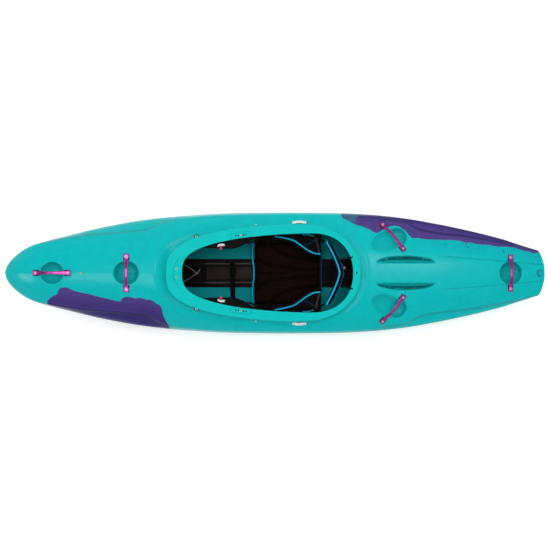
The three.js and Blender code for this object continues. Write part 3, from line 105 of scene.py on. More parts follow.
def along(table, at):
    """Monotone curve through a table, for a number or an array."""
    xs = np.array([p[0] for p in table], float)
    ys = np.array([p[1] for p in table], float)
    at = np.clip(np.asarray(at, float), xs[0], xs[-1])
    slopes = np.diff(ys) / np.diff(xs)
    tangent = np.zeros(len(xs))
    tangent[0], tangent[-1] = slopes[0], slopes[-1]
    before, after = slopes[:-1], slopes[1:]
    same = before * after > 0
    tangent[1:-1] = np.where(same, 2 * before * after / np.where(same, before + after, 1), 0)
    k = np.clip(np.searchsorted(xs, at, side="left") - 1, 0, len(xs) - 2)
    span = xs[k + 1] - xs[k]
    t = (at - xs[k]) / span
    r = 1 - t
    return (ys[k] * (1 + 2 * t) * r * r + tangent[k] * span * t * r * r
            + ys[k + 1] * t * t * (3 - 2 * t) - tangent[k + 1] * span * t * t * r)


def section(at):
    t = np.maximum(0, 1 - np.asarray(at, float) / 0.06)
    opening = np.sqrt(1 - t * t)
    lift = lambda table: TIP + (PROFILE * along(table, at) - TIP) * opening
    half = BEAM / 2 * along(BEAM_T, at) * opening
    sheer, deck = lift(SHEER_T), lift(DECK_T)
    return {"half": half, "sheer": sheer, "deck": deck, "keel": lift(KEEL_T), "chine": half * along(CHINE_T,
            at),
            "crease": half * along(CREASE_T, at), "rise": sheer + (deck - sheer) * along(RISE_T, at),
            "crown": along(CROWN_T, at)}


def run_of(points):
    """Length along a line, at each of its points."""
    return np.concatenate([[0], np.cumsum(np.linalg.norm(np.diff(points, axis=0), axis=1))])


def averaged(values, reach):
    """A moving average over a number of neighbours on each side; the ends are held."""
    window = 2 * reach + 1
    return np.convolve(np.pad(values, reach, mode="edge"), np.ones(window) / window, "valid")


def smooth(low, high, x):
    t = np.clip((x - low) / (high - low), 0, 1)
    return t * t * (3 - 2 * t)


def deck_height(x, y):
    """Height of the plain deck at a place in plan, in mm."""
    s = section(np.asarray(x, float) / LENGTH + 0.5)
    off = np.abs(y)
    inner = s["deck"] + (s["rise"] - s["deck"]) * np.minimum(off / s["crease"], 1) ** s["crown"]
    out = np.clip((off - s["crease"]) / (s["half"] - s["crease"]), 0, 1)
    return np.where(off <= s["crease"], inner, s["rise"] + (s["sheer"] - s["rise"]) * out)


# Cockpit and rim outlines: egg shapes in plan
def egg(turn, front, length, width, widest):
    c, s = np.cos(turn), np.sin(turn)
    p, q = np.where(c > 0, 1.8, 2.2), np.where(c > 0, 3.0, 2.2)
    reach = np.where(c > 0, -length * widest, length * (1 - widest))
    x = front + length * widest + reach * np.abs(c) ** (2 / p)
    return np.stack([x, np.sign(s) * np.abs(s) ** (2 / q) * width / 2], -1)


def even_loop(make, count):
    """Points at even distances round a closed outline."""
    pts = make(np.linspace(0, 2 * math.pi, 6001))
    run = run_of(pts)
    at = np.linspace(0, run[-1], count, endpoint=False)
    return np.stack([np.interp(at, run, pts[:, k]) for k in (0, 1)], -1)


RIM_FRONT, RIM_LENGTH, RIM_WIDTH = -548.0, 953.0, 480.0
RIM_LEVEL, RIM_FLAT_FROM = 306.0, 240.0
RIM_SLOPE = (366.0 - RIM_LEVEL) / -RIM_FRONT
COCKPIT_FRONT, COCKPIT_LENGTH, COCKPIT_WIDTH, COCKPIT_WIDEST = -470.0, 838.0, 391.0, 0.76
LIP_REACH = 17.0
BRACE_ROW_X, BRACE_ROW_Y, BRACE_TAPER = -186.0, 184.6, 0.14
outer_of = lambda turn: egg(turn, RIM_FRONT, RIM_LENGTH, RIM_WIDTH, 0.68)
inner_of = lambda turn: egg(turn, COCKPIT_FRONT, COCKPIT_LENGTH, COCKPIT_WIDTH, COCKPIT_WIDEST)


def rim_height(x):
    """Height of the rim's top: it slopes down to the stern and levels out."""
    x = np.asarray(x, float)
    run = np.clip(x, 0, RIM_FLAT_FROM)
    behind = RIM_LEVEL - RIM_SLOPE * run + RIM_SLOPE * run * run / (2 * RIM_FLAT_FROM)
    return np.where(x <= 0, RIM_LEVEL - RIM_SLOPE * x, behind)


def cockpit_half(x):
    """Half breadth of the cockpit at a station, in mm."""
    nose = COCKPIT_LENGTH * COCKPIT_WIDEST
    t = np.minimum(1, (COCKPIT_FRONT + nose - np.asarray(x, float)) / nose)
    return np.maximum(0, 1 - np.abs(t) ** 1.8) ** (1 / 3) * COCKPIT_WIDTH / 2


def loop_distance(points, loop):
    """Distance of plan points from a closed outline, positive outside."""
    a, b = loop, np.roll(loop, -1, 0)
    best = np.full(len(points), 1e9)
    inside = np.zeros(len(points), bool)
    for p, q in zip(a, b):
        d = q - p
        t = np.clip(((points - p) @ d) / (d @ d), 0, 1)
        gap = points - (p + t[:, None] * d)
        best = np.minimum(best, np.einsum("ij,ij->i", gap, gap))
        crosses = (p[1] > points[:, 1]) != (q[1] > points[:, 1])
        with np.errstate(divide="ignore", invalid="ignore"):
            cut = p[0] + (points[:, 1] - p[1]) / (q[1] - p[1]) * d[0]
        inside ^= crosses & (points[:, 0] < cut)
    return np.where(inside, -1, 1) * np.sqrt(best)


rim_loop = even_loop(outer_of, 240)


def deck_frame(a, b):
    """Frame of a fitting with feet at two places: origin, run, across, up."""
    pa = np.array([*a, float(deck_height(*a))])
    pb = np.array([*b, float(deck_height(*b))])
    run = (pb - pa) / np.linalg.norm(pb - pa)
    mid = (pa + pb) / 2
    h = 6.0
    sx = float(deck_height(mid[0] + h, mid[1]) - deck_height(mid[0] - h, mid[1]))
    sy = float(deck_height(mid[0], mid[1] + h) - deck_height(mid[0], mid[1] - h))
    normal = np.array([-sx, -sy, 2 * h])
    up = normal - run * (normal @ run)
    up /= np.linalg.norm(up)
    return mid, run, np.cross(up, run), up


HANDLES = {
    "bow_handle": ((-1174.12, 0), (-1016.12, 0)),
    "foredeck_handle": ((-737.91, -79), (-737.91, 79)),
    "rear_right_handle": ((526.5, 240), (618.57, 123.5)),
    "rear_left_handle": ((526.5, -240), (618.57, -123.5)),
    "stern_handle": ((1169.91, -79), (1169.91, 79)),
}
BARS = {"security_bar_right": ((76, 252), (130, 252)), "security_bar_left": ((76, -252), (130, -252))}
SPOTS = {"deck_bolt_right": (-405, 176), "deck_bolt_left": (-405, -176), "side_bolt_right": (-115, 240),
         "side_bolt_left": (-115, -240), "foredeck_screw": (-953.91, 0), "drain_bush": (1321.92, 0)}


# How far the lands under handles, bars and the drain stand above the plain deck, in mm
LAND_LIFT = 1.5


def spot_frame(x, y):
    return deck_frame((x - 6, y), (x + 6, y))


def lifted(f, height):
    return f[0] + f[3] * height, f[1], f[2], f[3]


def plane_height(f, x, y):
    o, _, _, up = f
    return o[2] - (up[0] * (x - o[0]) + up[1] * (y - o[1])) / up[2]


def local_plan(f, x, y):
    """Plan place in a frame's run and across directions, as seen from above."""
    run = f[1][:2] / np.linalg.norm(f[1][:2])
    across = np.array([-run[1], run[0]])
    dx, dy = x - f[0][0], y - f[0][1]
    return dx * run[0] + dy * run[1], dx * across[0] + dy * across[1]


def soft_max(a, b, radius):
    """The higher of two heights, with a rounded join."""
    h = np.clip(0.5 + 0.5 * (a - b) / radius, 0, 1)
    return b + (a - b) * h + radius * h * (1 - h)


def soft_min(a, b, radius):
    return -soft_max(-a, -b, radius)


def bowl(z, f, half_x, half_y, depth, edge, dark=(0.12, 0.34)):
    """Presses a round dish into the deck below a frame's plane, and paints shade into it; dark gives that
    painted shade on its floor and towards its walls, and the wall on the +y side gets more.
    """
    x, y = GRID
    r = (half_y ** 2 + depth ** 2) / (2 * depth)
    u, v = local_plan(f, x, y)
    u = u * half_y / half_x
    rr = np.clip(r * r - u * u - v * v, 0, None)
    floor = plane_height(f, x, y) + (r - depth) - np.sqrt(rr)
    near = u * u + v * v < (half_y * 1.6) ** 2
    out = np.where(near, soft_min(z, floor, edge), z)
    rim = np.clip((u * u + v * v) / half_y ** 2, 0, 1)
    # painted shade: the wall on the +y side faces away from the light
    painted_wall_shade = np.clip((y - f[0][1]) / half_y, 0, 1) * rim * 0.12
    painted_shade(smooth(0.5, 6, z - out) * (dark[0] + dark[1] * rim ** 1.5 + painted_wall_shade))
    return out


def painted_shade(share):
    """Keeps the darkest of the painted shades that pressed-in forms give a point."""
    np.maximum(PAINTED_SHADES, share, out=PAINTED_SHADES)


# the deck's plan points, and the shade painted on each of them
GRID = None
PAINTED_SHADES = None


def deck_features(x, y, z):
    """The deck's height with everything that is moulded into it; the shade painted on those forms is kept
    as well.
    """
    global GRID, PAINTED_SHADES
    GRID = (x, y)
    PAINTED_SHADES = np.zeros(len(x))
    plan = np.stack([x, y], -1)
    d = np.full(len(x), 500.0)
    near = (x > -760) & (x < 620)
    d[near] = loop_distance(plan[near], rim_loop)
    # a soft ridge along the middle of the foredeck
    ridge = smooth(-560, -640, x) * smooth(-1330, -1250, x)
    z = z + 2.4 * ridge * (np.exp(-np.sqrt(y * y + 9) / 26) - 0.4)
    # trough round the rim, deeper in front, with a soft outer shoulder
    front = smooth(-120, -430, x)
    depth = 4 + 9 * front
    z = z - depth * np.exp(-((d - 4) / 26) ** 2) * (d > -40)
    z = z + 2.6 * front * np.exp(-((d - 56) / 17) ** 2)
    # roll behind the rim and the raised tongue between the grooves
    z = z + 3.2 * smooth(260, 380, x) * np.exp(-((d - 34) / 13) ** 2)
    # a fillet up to the coaming's riser
    z = z + 14 * np.clip(1 - (d + 15) / 15, 0, 1) ** 2 * (d > -24)
    # creases between the deck and its side facets, at the bow and the stern
    at = section(np.clip(x / LENGTH + 0.5, 0, 1))
    off = np.abs(y) - at["crease"]
    run = smooth(-1235, -1120, x) * smooth(-455, -560, x) + smooth(440, 560, x) * smooth(1340, 1290, x)
    z = z - run * (4.2 * smooth(-4, 7, off) - 1.5 * np.exp(-((off + 9) / 6) ** 2))
    # painted shade along the creases
    painted_shade(run * 0.34 * np.exp(-((off - 1) / 5.5) ** 2))
    # lands under the handles and bars
    for f, length, breadth in LANDS:
        u, v = local_plan(f, x, y)
        gap = np.hypot(np.maximum(np.abs(u) - length / 2 + breadth / 2, 0), v) - breadth / 2
        share = smooth(7, -1, gap)
        z = z + (plane_height(f, x, y) - 1.2 - z) * share
    # finger dishes
    for name in ("bow_handle", "foredeck_handle", "stern_handle"):
        z = bowl(z, lifted(FRAMES[name], LAND_LIFT), 57, 57, 42, 2.6)
    for side in (1, -1):
        scoop = deck_frame((466, side * 120), (640, side * 212))
        z = bowl(z, scoop, math.hypot(174, 92) / 2, 52, 21, 5, (0.05, 0.16))
        z = bowl(z, spot_frame(596, side * 180), 48, 48, 37, 3.6, (0.1, 0.3))
        # drain grooves: straight on the inside, bowed on the outside
        u = (x - 634.5) / 145.5
        v = y * side - 51
        spread = np.sqrt(np.clip(1 - u * u, 0, 1))
        t = v / np.maximum(35 * spread, 1e-3)
        step = smooth(-2.5, 2.5, v) * smooth(1.06, 0.76, t) * (spread > 0)
        z = z - spread ** 0.5 * (9 * step + 21 * smooth(0.25, 0.66, t) * step)
        # painted shade in the grooves: darkest along the inner step and towards the deep outer side
        painted_darkening = 0.42 * np.exp(-((t - 0.08) / 0.1) ** 2) + 0.24 + 0.5 * smooth(0.3, 0.6, t)
        painted_shade(spread ** 0.3 * step * np.clip(painted_darkening, 0, 0.72))
        # bolt pockets at the rim's nose
        bx, by = -405, side * 176
        r = np.hypot(x - bx, y - by)
        z = z - 3.5 * smooth(15.5, 11.5, r)
        # painted shade in the bolt pockets
        painted_shade(0.5 * smooth(18, 13, r))
        # faint lines that run to the stern
        line = side * (85 - (x - 830) * 0.085)
        gap = np.abs(y - line)
        faint = np.exp(-(gap / 3.4) ** 2) * smooth(800, 860, x) * smooth(1352, 1335, x)
        z = z - 1.9 * faint
        # painted shade along the faint lines
        painted_shade(0.24 * faint)
    return z


FRAMES = {name: deck_frame(a, b) for name, (a, b) in {**HANDLES, **BARS}.items()}
LANDS = [(lifted(FRAMES[n], LAND_LIFT), 196, 34) for n in HANDLES]
LANDS += [(lifted(FRAMES[n], LAND_LIFT), 76, 19) for n in BARS]


# Mesh making
def new_object(name, verts, faces, material, smooth_shade=True):
    mesh = bpy.data.meshes.new(name)
    verts = np.asarray(verts, float) * MM
    mesh.from_pydata(verts.tolist(), [], [list(map(int, f)) for f in faces])
    mesh.validate()
    mesh.update()
    obj = bpy.data.objects.new(name, mesh)
    bpy.context.scene.collection.objects.link(obj)
    if material:
        mesh.materials.append(material)
    if smooth_shade:
        mesh.polygons.foreach_set("use_smooth", [True] * len(mesh.polygons))
    return obj


def grid_faces(rows, cols):
    """Faces between closed rings of points."""
    r = np.arange(rows - 1)[:, None]
    c = np.arange(cols)[None, :]
    n = (c + 1) % cols
    a = r * cols + c
    b = r * cols + n
    return np.stack([a, b, b + cols, a + cols], -1).reshape(-1, 4)


def ring_points(at, inset, counts):
    """One station's closed ring, with its corners rounded; columns follow the creases."""
    s = {k: float(v) for k, v in section(at).items()}
    deck, keel = s["deck"] - inset, s["keel"] + inset
    crease, rise, half = s["crease"] - inset, s["rise"] - inset * 0.6, s["half"] - inset
    crease, half = max(crease, 0.5), max(half, 0.6)
    chine = min(s["chine"], half * 0.9)
    nd, ns, nc, nb = counts
    fine = 6  # points between two columns, before they are evened out
    t = np.linspace(0, 1, nd * fine + 1)
    a = np.stack([crease * t, deck + (rise - deck) * t ** s["crown"]], -1)
    t = np.linspace(0, 1, ns * fine + 1)[1:]
    bulge = (half - crease) * 0.12 * 4 * t * (1 - t)
    b = np.stack([crease + (half - crease) * t + bulge, rise + (s["sheer"] - rise) * t], -1)
    t = np.linspace(1, 0, nc * fine + 1)[1:]
    c = np.stack([chine + (half - chine) * (1 - (1 - t) ** 2.2), keel + (s["sheer"] - keel) * t ** 1.35],
                 -1)
    t = np.linspace(1, 0, nb * fine + 1)[1:]
    e = np.stack([chine * t, np.full(len(t), keel)], -1)
    half_line = np.concatenate([a, b, c, e])
    run = run_of(half_line)
    total = run[-1]
    # even spacing along the deck and sides, then rounding of every corner by a moving average
    step = max(total / 500, 0.05)
    n = int(total / step)
    at_even = np.linspace(0, total, n)
    even = np.stack([np.interp(at_even, run, half_line[:, k]) for k in (0, 1)], -1)
    whole = np.concatenate([even[::-1][:-1] * [-1, 1], even, even[::-1][1:] * [-1, 1]])
    radius = min(6.5, total / 26)
    reach = max(1, int(3 * radius / step))
    k = np.arange(-reach, reach + 1) * step
    w = np.exp(-(k / radius) ** 2)
    w /= w.sum()
    soft = np.stack([np.convolve(whole[:, j], w, mode="same") for j in (0, 1)], -1)[n - 1:2 * n - 1]
    # columns keep to even runs inside each stretch
    ends = [0, run[nd * fine], run[(nd + ns) * fine], run[(nd + ns + nc) * fine], total]
    want = []
    for (lo, hi), count in zip(zip(ends[:-1], ends[1:]), counts):
        want.append(np.linspace(lo, hi, count, endpoint=False))
    want = np.concatenate(want + [[total]])
    half_pts = np.stack([np.interp(want, at_even, soft[:, j]) for j in (0, 1)], -1)
    return np.concatenate([half_pts, (half_pts[1:-1] * [-1, 1])[::-1]])


TRANSOM_BOW = 22.0
TRANSOM_HALF = BEAM / 2 * BEAM_T[-1][1]


def transom_pull(y):
    """How much further forward than its middle the bowed transom is, off the middle line, in mm."""
    return TRANSOM_BOW * (y / TRANSOM_HALF) ** 2


def hull_skin(stations, inset, counts, length_inset):
    rings = []
    squeeze = (LENGTH / 2 - length_inset) / (LENGTH / 2)
    for at in stations:
        p = ring_points(at, inset, counts)
        x = (at - 0.5) * LENGTH * squeeze
        pull = max(0, 1 - (1 - at) / 0.07) * transom_pull(p[:, 0])
        rings.append(np.stack([x - pull, p[:, 0], p[:, 1]], -1))
    return np.array(rings)


COUNTS = (70, 14, 26, 12)
nose = np.concatenate([[0.0001], np.linspace(0.0004, 0.0123, 12)])
stations = np.concatenate([nose, np.linspace(0.0145, 0.9974, 560)])
rings = hull_skin(stations, 0, COUNTS, 0)
ring_size = rings.shape[1]

# rounded transom edge
edge_rings = []
for k in range(1, 7):
    turn = k / 6 * math.pi / 2
    r = 7.0
    shrunk = ring_points(1.0, 0, COUNTS)
    mid = np.array([0, (shrunk[:, 1].max() + shrunk[:, 1].min()) / 2])
    out = shrunk - mid
    size = np.abs(out).max(0)
    p = mid + out * (1 - r * (1 - math.cos(turn)) / size)
    pull = transom_pull(p[:, 0])
    x = LENGTH / 2 - r + r * math.sin(turn)
    edge_rings.append(np.stack([x - pull, p[:, 0], p[:, 1]], -1))
    last_flat = p
for share in (0.9, 0.75, 0.6, 0.45, 0.3, 0.15, 0.03):
    p = mid + (last_flat - mid) * share
    pull = transom_pull(p[:, 0])
    edge_rings.append(np.stack([LENGTH / 2 - pull, p[:, 0], p[:, 1]], -1))
rings = np.concatenate([rings, np.array(edge_rings)])

# what is moulded into the deck applies to the upper part of each ring
flat = rings.reshape(-1, 3)
nd, ns, nc, nb = COUNTS
column = np.arange(ring_size)
column = np.minimum(column, ring_size - column)
upper = np.tile(np.where(column <= nd, 1.0, smooth(nd + ns, nd, column)), len(rings))
pick = (upper > 0) & (flat[:, 0] > -1340) & (flat[:, 0] < 1349)
changed = deck_features(flat[pick, 0], flat[pick, 1], flat[pick, 2])
# the shade painted on the deck's pressed-in forms, one value a point
hull_painted_shade = np.zeros(len(flat))
hull_painted_shade[pick] = PAINTED_SHADES * upper[pick]
flat[pick, 2] += (changed - flat[pick, 2]) * upper[pick]

faces = grid_faces(len(rings), ring_size)
centres = flat[faces].mean(1)


def riser_cut(turn):
    """Outline of the hole in the deck, 3 mm inside the coaming's riser."""
    outer = outer_of(turn)
    way = inner_of(turn) - outer
    return outer + way * ((LIP_REACH + 3) / np.linalg.norm(way, axis=1))[:, None]


cut_loop = even_loop(riser_cut, 400)


def in_opening(centres, on_deck, margin):
    """Which of the deck's faces lie in the cockpit's hole."""
    near = on_deck & (np.abs(centres[:, 1]) < 232) & (centres[:, 0] > -545) & (centres[:, 0] < 402)
    inside = np.zeros(len(centres), bool)
    inside[near] = loop_distance(centres[near][:, :2], cut_loop) < margin
    return inside


faces = faces[~in_opening(centres, upper[faces].min(1) > 0.5, 0)]
nose_ring = list(range(ring_size))
tail = (len(rings) - 1) * ring_size
outer_faces = [list(f) for f in faces] + [nose_ring[::-1], [tail + i for i in range(ring_size)]]


def store_painted_shade(obj, values):
    """Stores the shade painted on each point, for the materials."""
    obj.data.attributes.new("painted_shade", "FLOAT", "POINT").data.foreach_set("value", values)


def orient(obj):
    bm = bmesh.new()
    bm.from_mesh(obj.data)
    loose = [v for v in bm.verts if not v.link_faces]
    bmesh.ops.delete(bm, geom=loose, context="VERTS")
    bmesh.ops.recalc_face_normals(bm, faces=bm.faces)
    bm.to_mesh(obj.data)
    bm.free()
    obj.data.update()


# Materials
def material(name):
    mat = bpy.data.materials.new(name)
    mat.use_nodes = True
    nodes = mat.node_tree.nodes
    nodes.clear()
    out = nodes.new("ShaderNodeOutputMaterial")
    shader = nodes.new("ShaderNodeBsdfPrincipled")
    mat.node_tree.links.new(shader.outputs[0], out.inputs[0])
    return mat, mat.node_tree, shader


def set_inputs(shader, **inputs):
    """Sets or links a shader's inputs, by their names with _ for a space."""
    tree = shader.id_data
    for name, value in inputs.items():
        socket = shader.inputs[name.replace("_", " ")]
        if hasattr(value, "is_output"):
            tree.links.new(value, socket)
        else:
            socket.default_value = value


def coords_of(tree):
    return tree.nodes.new("ShaderNodeTexCoord").outputs["Object"]


def painted_shade_of(tree):
    """The painted shade that darkens pressed-in places."""
    made = tree.nodes.new("ShaderNodeAttribute")
    made.attribute_name = "painted_shade"
    return made.outputs["Fac"]


def math_node(tree, operation, a, b):
    made = tree.nodes.new("ShaderNodeMath")
    made.operation = operation
    for i, value in enumerate((a, b)):
        if hasattr(value, "is_output"):
            tree.links.new(value, made.inputs[i])
        else:
            made.inputs[i].default_value = value
    return made.outputs[0]


def times(tree, *values):
    """The product of several values, from the first one on."""
    product = values[0]
    for value in values[1:]:
        product = math_node(tree, "MULTIPLY", product, value)
    return product


def plus(tree, a, b):
    return math_node(tree, "ADD", a, b)


def minus(tree, a, b):
    return math_node(tree, "SUBTRACT", a, b)


def higher(tree, a, b):
    return math_node(tree, "MAXIMUM", a, b)


def mix_color(tree, share, a, b):
    made = tree.nodes.new("ShaderNodeMix")
    made.data_type = "RGBA"
    for i, value in ((0, share), (6, a), (7, b)):
        if hasattr(value, "is_output"):
            tree.links.new(value, made.inputs[i])
        elif i == 0:
            made.inputs[0].default_value = value
        else:
            made.inputs[i].default_value = (*value, 1)
    return made.outputs[2]


def noise(tree, coords, scale, detail=3.0, roughness=0.55, distortion=0.0):
    made = tree.nodes.new("ShaderNodeTexNoise")
    made.inputs["Scale"].default_value = scale
    made.inputs["Detail"].default_value = detail
    made.inputs["Roughness"].default_value = roughness
    made.inputs["Distortion"].default_value = distortion
    tree.links.new(coords, made.inputs["Vector"])
    return made.outputs[0]


def span(tree, value, low, high, to_low=0.0, to_high=1.0, soft=True):
    made = tree.nodes.new("ShaderNodeMapRange")
    made.interpolation_type = "SMOOTHSTEP" if soft else "LINEAR"
    made.clamp = True
    tree.links.new(value, made.inputs[0])
    for i, v in enumerate((low, high, to_low, to_high)):
        made.inputs[i + 1].default_value = v
    return made.outputs[0]


def bump(tree, shader, height, strength, distance):
    made = tree.nodes.new("ShaderNodeBump")
    made.inputs["Strength"].default_value = strength
    made.inputs["Distance"].default_value = distance
    tree.links.new(height, made.inputs["Height"])
    tree.links.new(made.outputs[0], shader.inputs["Normal"])
    return made


def curve_of(tree, value, points, low, high):
    """A curve through points, of a value that runs from low to high."""
    made = tree.nodes.new("ShaderNodeFloatCurve")
    tree.links.new(span(tree, value, low, high, soft=False), made.inputs["Value"])
    line = made.mapping.curves[0]
    values = [p[1] for p in points]
    bottom, top = min(values), max(values)
    pts = [((x - low) / (high - low), (y - bottom) / (top - bottom)) for x, y in points]
    line.points[0].location = pts[0]
    line.points[1].location = pts[-1]
    for p in pts[1:-1]:
        line.points.new(*p)
    for p in line.points:
        p.handle_type = "VECTOR"
    made.mapping.update()
    return span(tree, made.outputs[0], 0, 1, bottom, top, soft=False)


# The picture's scale at a level 0.3 m up, and the pixel that shows a point near the model's middle
METRES_PER_PIXEL, SCALE_LEVEL, EYE_HEIGHT = 4.935e-3, 0.3, 3.9
MIDDLE_X, MIDDLE_Y, MIDDLE_AT = 275, 273, -0.015


def place(px, py, z):
    """Model place, in metres, of a spot seen in the picture at a given height."""
    s = METRES_PER_PIXEL * (EYE_HEIGHT - z) / (EYE_HEIGHT - SCALE_LEVEL)
    return (px - MIDDLE_X) * s + MIDDLE_AT, (MIDDLE_Y - py) * s


BOW_PATCH = [(46.5, 318), (47.2, 303), (47.8, 301.2), (51, 298), (54.8, 295.6), (58.2, 294),
             (59.9, 293.3), (60.4, 291), (61.4, 289.5), (63.8, 287.7), (67, 287.2), (70.8, 287.5),
             (75, 289.6), (80, 291.5), (88, 293), (97, 295.4), (108, 298.3), (115.3, 300.3),
             (121.7, 300.9), (122.4, 299.4), (123.4, 298.0), (125.5, 296.8), (129, 296.5), (133, 297),
             (137, 297.9), (142, 297.7), (144.5, 298.3), (147, 299.4), (150, 299.3), (153, 300.4),
             (155.5, 302.4), (157.4, 304), (160, 305.3), (161.3, 307.4), (162.0, 311), (162.2, 315),
             (163.2, 318.5), (164.4, 322), (166.2, 326), (167.4, 340)]
REAR_PATCH = [(340.9, 190), (341.7, 215.7), (343.4, 218.6), (346.6, 219.9), (350.3, 222),
              (353.2, 224.2), (356.6, 225.2), (363, 226.9), (368.7, 229.5), (372.7, 232.1),
              (376.7, 233.2), (379.5, 231.6), (382.2, 229.8), (388.8, 226.6), (395, 225.2),
              (401, 227.2), (406, 231.2), (408.3, 235.3), (411.2, 238.1), (416.3, 238.1), (425, 239.3),
              (430, 239.5), (445, 239.9), (452, 240.0), (459.8, 240.7), (466.4, 242.4), (474, 243.2),
              (481.4, 244.5), (488.8, 244.7), (497.9, 246.4), (507, 246.4), (517.8, 247.8),
              (525.3, 250.3), (531.9, 251.5), (536, 253.6), (541.5, 251.9), (547, 250.5)]


def hull_material(name, inside=False, shaded=True):
    mat, tree, shader = material(name)
    coords = coords_of(tree)
    if inside:
        grain = noise(tree, coords, 160, 4)
        broad = noise(tree, coords, 6, 2)
        # a darker copy of the hull's teal: painted shade for the inside
        color = mix_color(tree, span(tree, broad, 0.3, 0.7), (0.002, 0.34, 0.37), (0.003, 0.40, 0.43))
        set_inputs(shader, Base_Color=color, Roughness=0.55, Specular_IOR_Level=0.14)
        bump(tree, shader, grain, 0.25, 0.0006)
        return mat
    split = tree.nodes.new("ShaderNodeSeparateXYZ")
    tree.links.new(coords, split.inputs[0])
    x, y, z = split.outputs
    wobble = noise(tree, coords, 55, 5, 0.65, 0.4)
    ripple = times(tree, minus(tree, wobble, 0.5), 0.022)
    fleck = noise(tree, coords, 320, 2, 0.6)
    drift = noise(tree, coords, 24, 4, 0.6, 0.5)
    # bow patch: below its edge on the port side
    bow = [place(px, py, 0.31) for px, py in BOW_PATCH]
    edge = curve_of(tree, x, bow, bow[0][0], bow[-1][0])
    gap = minus(tree, minus(tree, edge, y), times(tree, ripple, 0.55))
    in_bow = span(tree, gap, -0.0012, 0.0016)
    from_left = span(tree, plus(tree, x, ripple), bow[0][0], bow[0][0] + 0.002)
    to_right = span(tree, plus(tree, x, ripple), bow[-1][0] - 0.006, bow[-1][0] - 0.003, 1, 0)
    in_bow = times(tree, in_bow, from_left, to_right)
    # rear patch: above its edge on the starboard side
    rear = [place(px, py, 0.24) for px, py in REAR_PATCH]
    edge = curve_of(tree, x, rear, rear[0][0], rear[-1][0])
    rear_gap = plus(tree, minus(tree, y, edge), times(tree, ripple, 0.6))
    in_rear = span(tree, rear_gap, -0.0016, 0.002)
    in_rear = times(tree, in_rear, span(tree, plus(tree, x, ripple), rear[0][0], rear[0][0] + 0.004))
    # flecks of the other colour near the stern's edge
    near = times(tree, span(tree, rear_gap, -0.085, 0.0), span(tree, x, 0.6, 1.0))
    flecks = times(tree, span(tree, fleck, 0.57, 0.63), times(tree, near, 0.9))
    blotch = times(tree, span(tree, drift, 0.6, 0.68), times(tree, near, 0.6))
    everywhere = times(tree, span(tree, fleck, 0.68, 0.74), 0.22)
    purple_share = higher(tree, in_bow, in_rear)
    specks = higher(tree, flecks, higher(tree, blotch, everywhere))
    teal = mix_color(tree, span(tree, drift, 0.3, 0.7), (0.0020, 0.485, 0.505), (0.0026, 0.525, 0.535))
    # the rim's lighter copy of the teal: painted light on its broad top
    if not shaded:
        teal = mix_color(tree, span(tree, drift, 0.3, 0.7), (0.0022, 0.545, 0.53), (0.0028, 0.575, 0.555))
    # painted reflection: towards the outline the colour turns pale grey, as a bright surround would reflect
    # at grazing angles; none where shade is painted, and none on the rim
    facing = tree.nodes.new("ShaderNodeLayerWeight")
    facing.inputs["Blend"].default_value = 0.5
    painted_grazing_reflection = math_node(tree, "POWER", span(tree, facing.outputs["Facing"], 0.5, 0.97), 1.6)
    pressed = painted_shade_of(tree)
    painted_grazing_reflection = times(tree, painted_grazing_reflection, span(tree, pressed, 0.02, 0.2, 0.6 if shaded else 0.0, 0))
    normal = tree.nodes.new("ShaderNodeSeparateXYZ")
    tree.links.new(tree.nodes.new("ShaderNodeNewGeometry").outputs["Normal"], normal.inputs[0])
    # painted shade: the purple is darker where the surface turns away from straight up
    upward = span(tree, normal.outputs[2], 0.62, 0.95)
    purple = mix_color(tree, upward, (0.021, 0.010, 0.145), (0.086, 0.056, 0.25))
    murk = times(tree, span(tree, drift, 0.42, 0.6), span(tree, x, 0.39, 0.47, 0.75, 0))
    murk = times(tree, murk, in_rear)
    purple = mix_color(tree, murk, purple, (0.045, 0.16, 0.24))
    teal = mix_color(tree, specks, teal, (0.006, 0.10, 0.30))
    color = mix_color(tree, purple_share, teal, purple)
    color = mix_color(tree, painted_grazing_reflection, color, (0.62, 0.64, 0.66))
    # painted shade: pressed-in places turn towards near black
    color = mix_color(tree, pressed, color, (0.0005, 0.012, 0.022))
    tree.links.new(color, shader.inputs["Base Color"])
    grain = noise(tree, coords, 420, 3, 0.6)
    set_inputs(shader, Roughness=span(tree, grain, 0.2, 0.8, 0.2, 0.28), Specular_IOR_Level=0.08,
               Sheen_Weight=0.12, Sheen_Roughness=0.3)
    bump(tree, shader, grain, 0.1, 0.0003)
    return mat


hull_mat = hull_material("hull_plastic")
# the hull's inside: a darker copy of its teal, as painted shade
inside_mat = hull_material("hull_inside", inside=True)
# the rim: a lighter copy of the hull's plastic, painted light, without the painted reflection
rim_mat = hull_material("rim_plastic", shaded=False)

# The hull
hull_obj = new_object("hull_skin", flat, outer_faces, hull_mat)
store_painted_shade(hull_obj, hull_painted_shade)
orient(hull_obj)
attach(hull_obj, "boat")
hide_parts("hull")

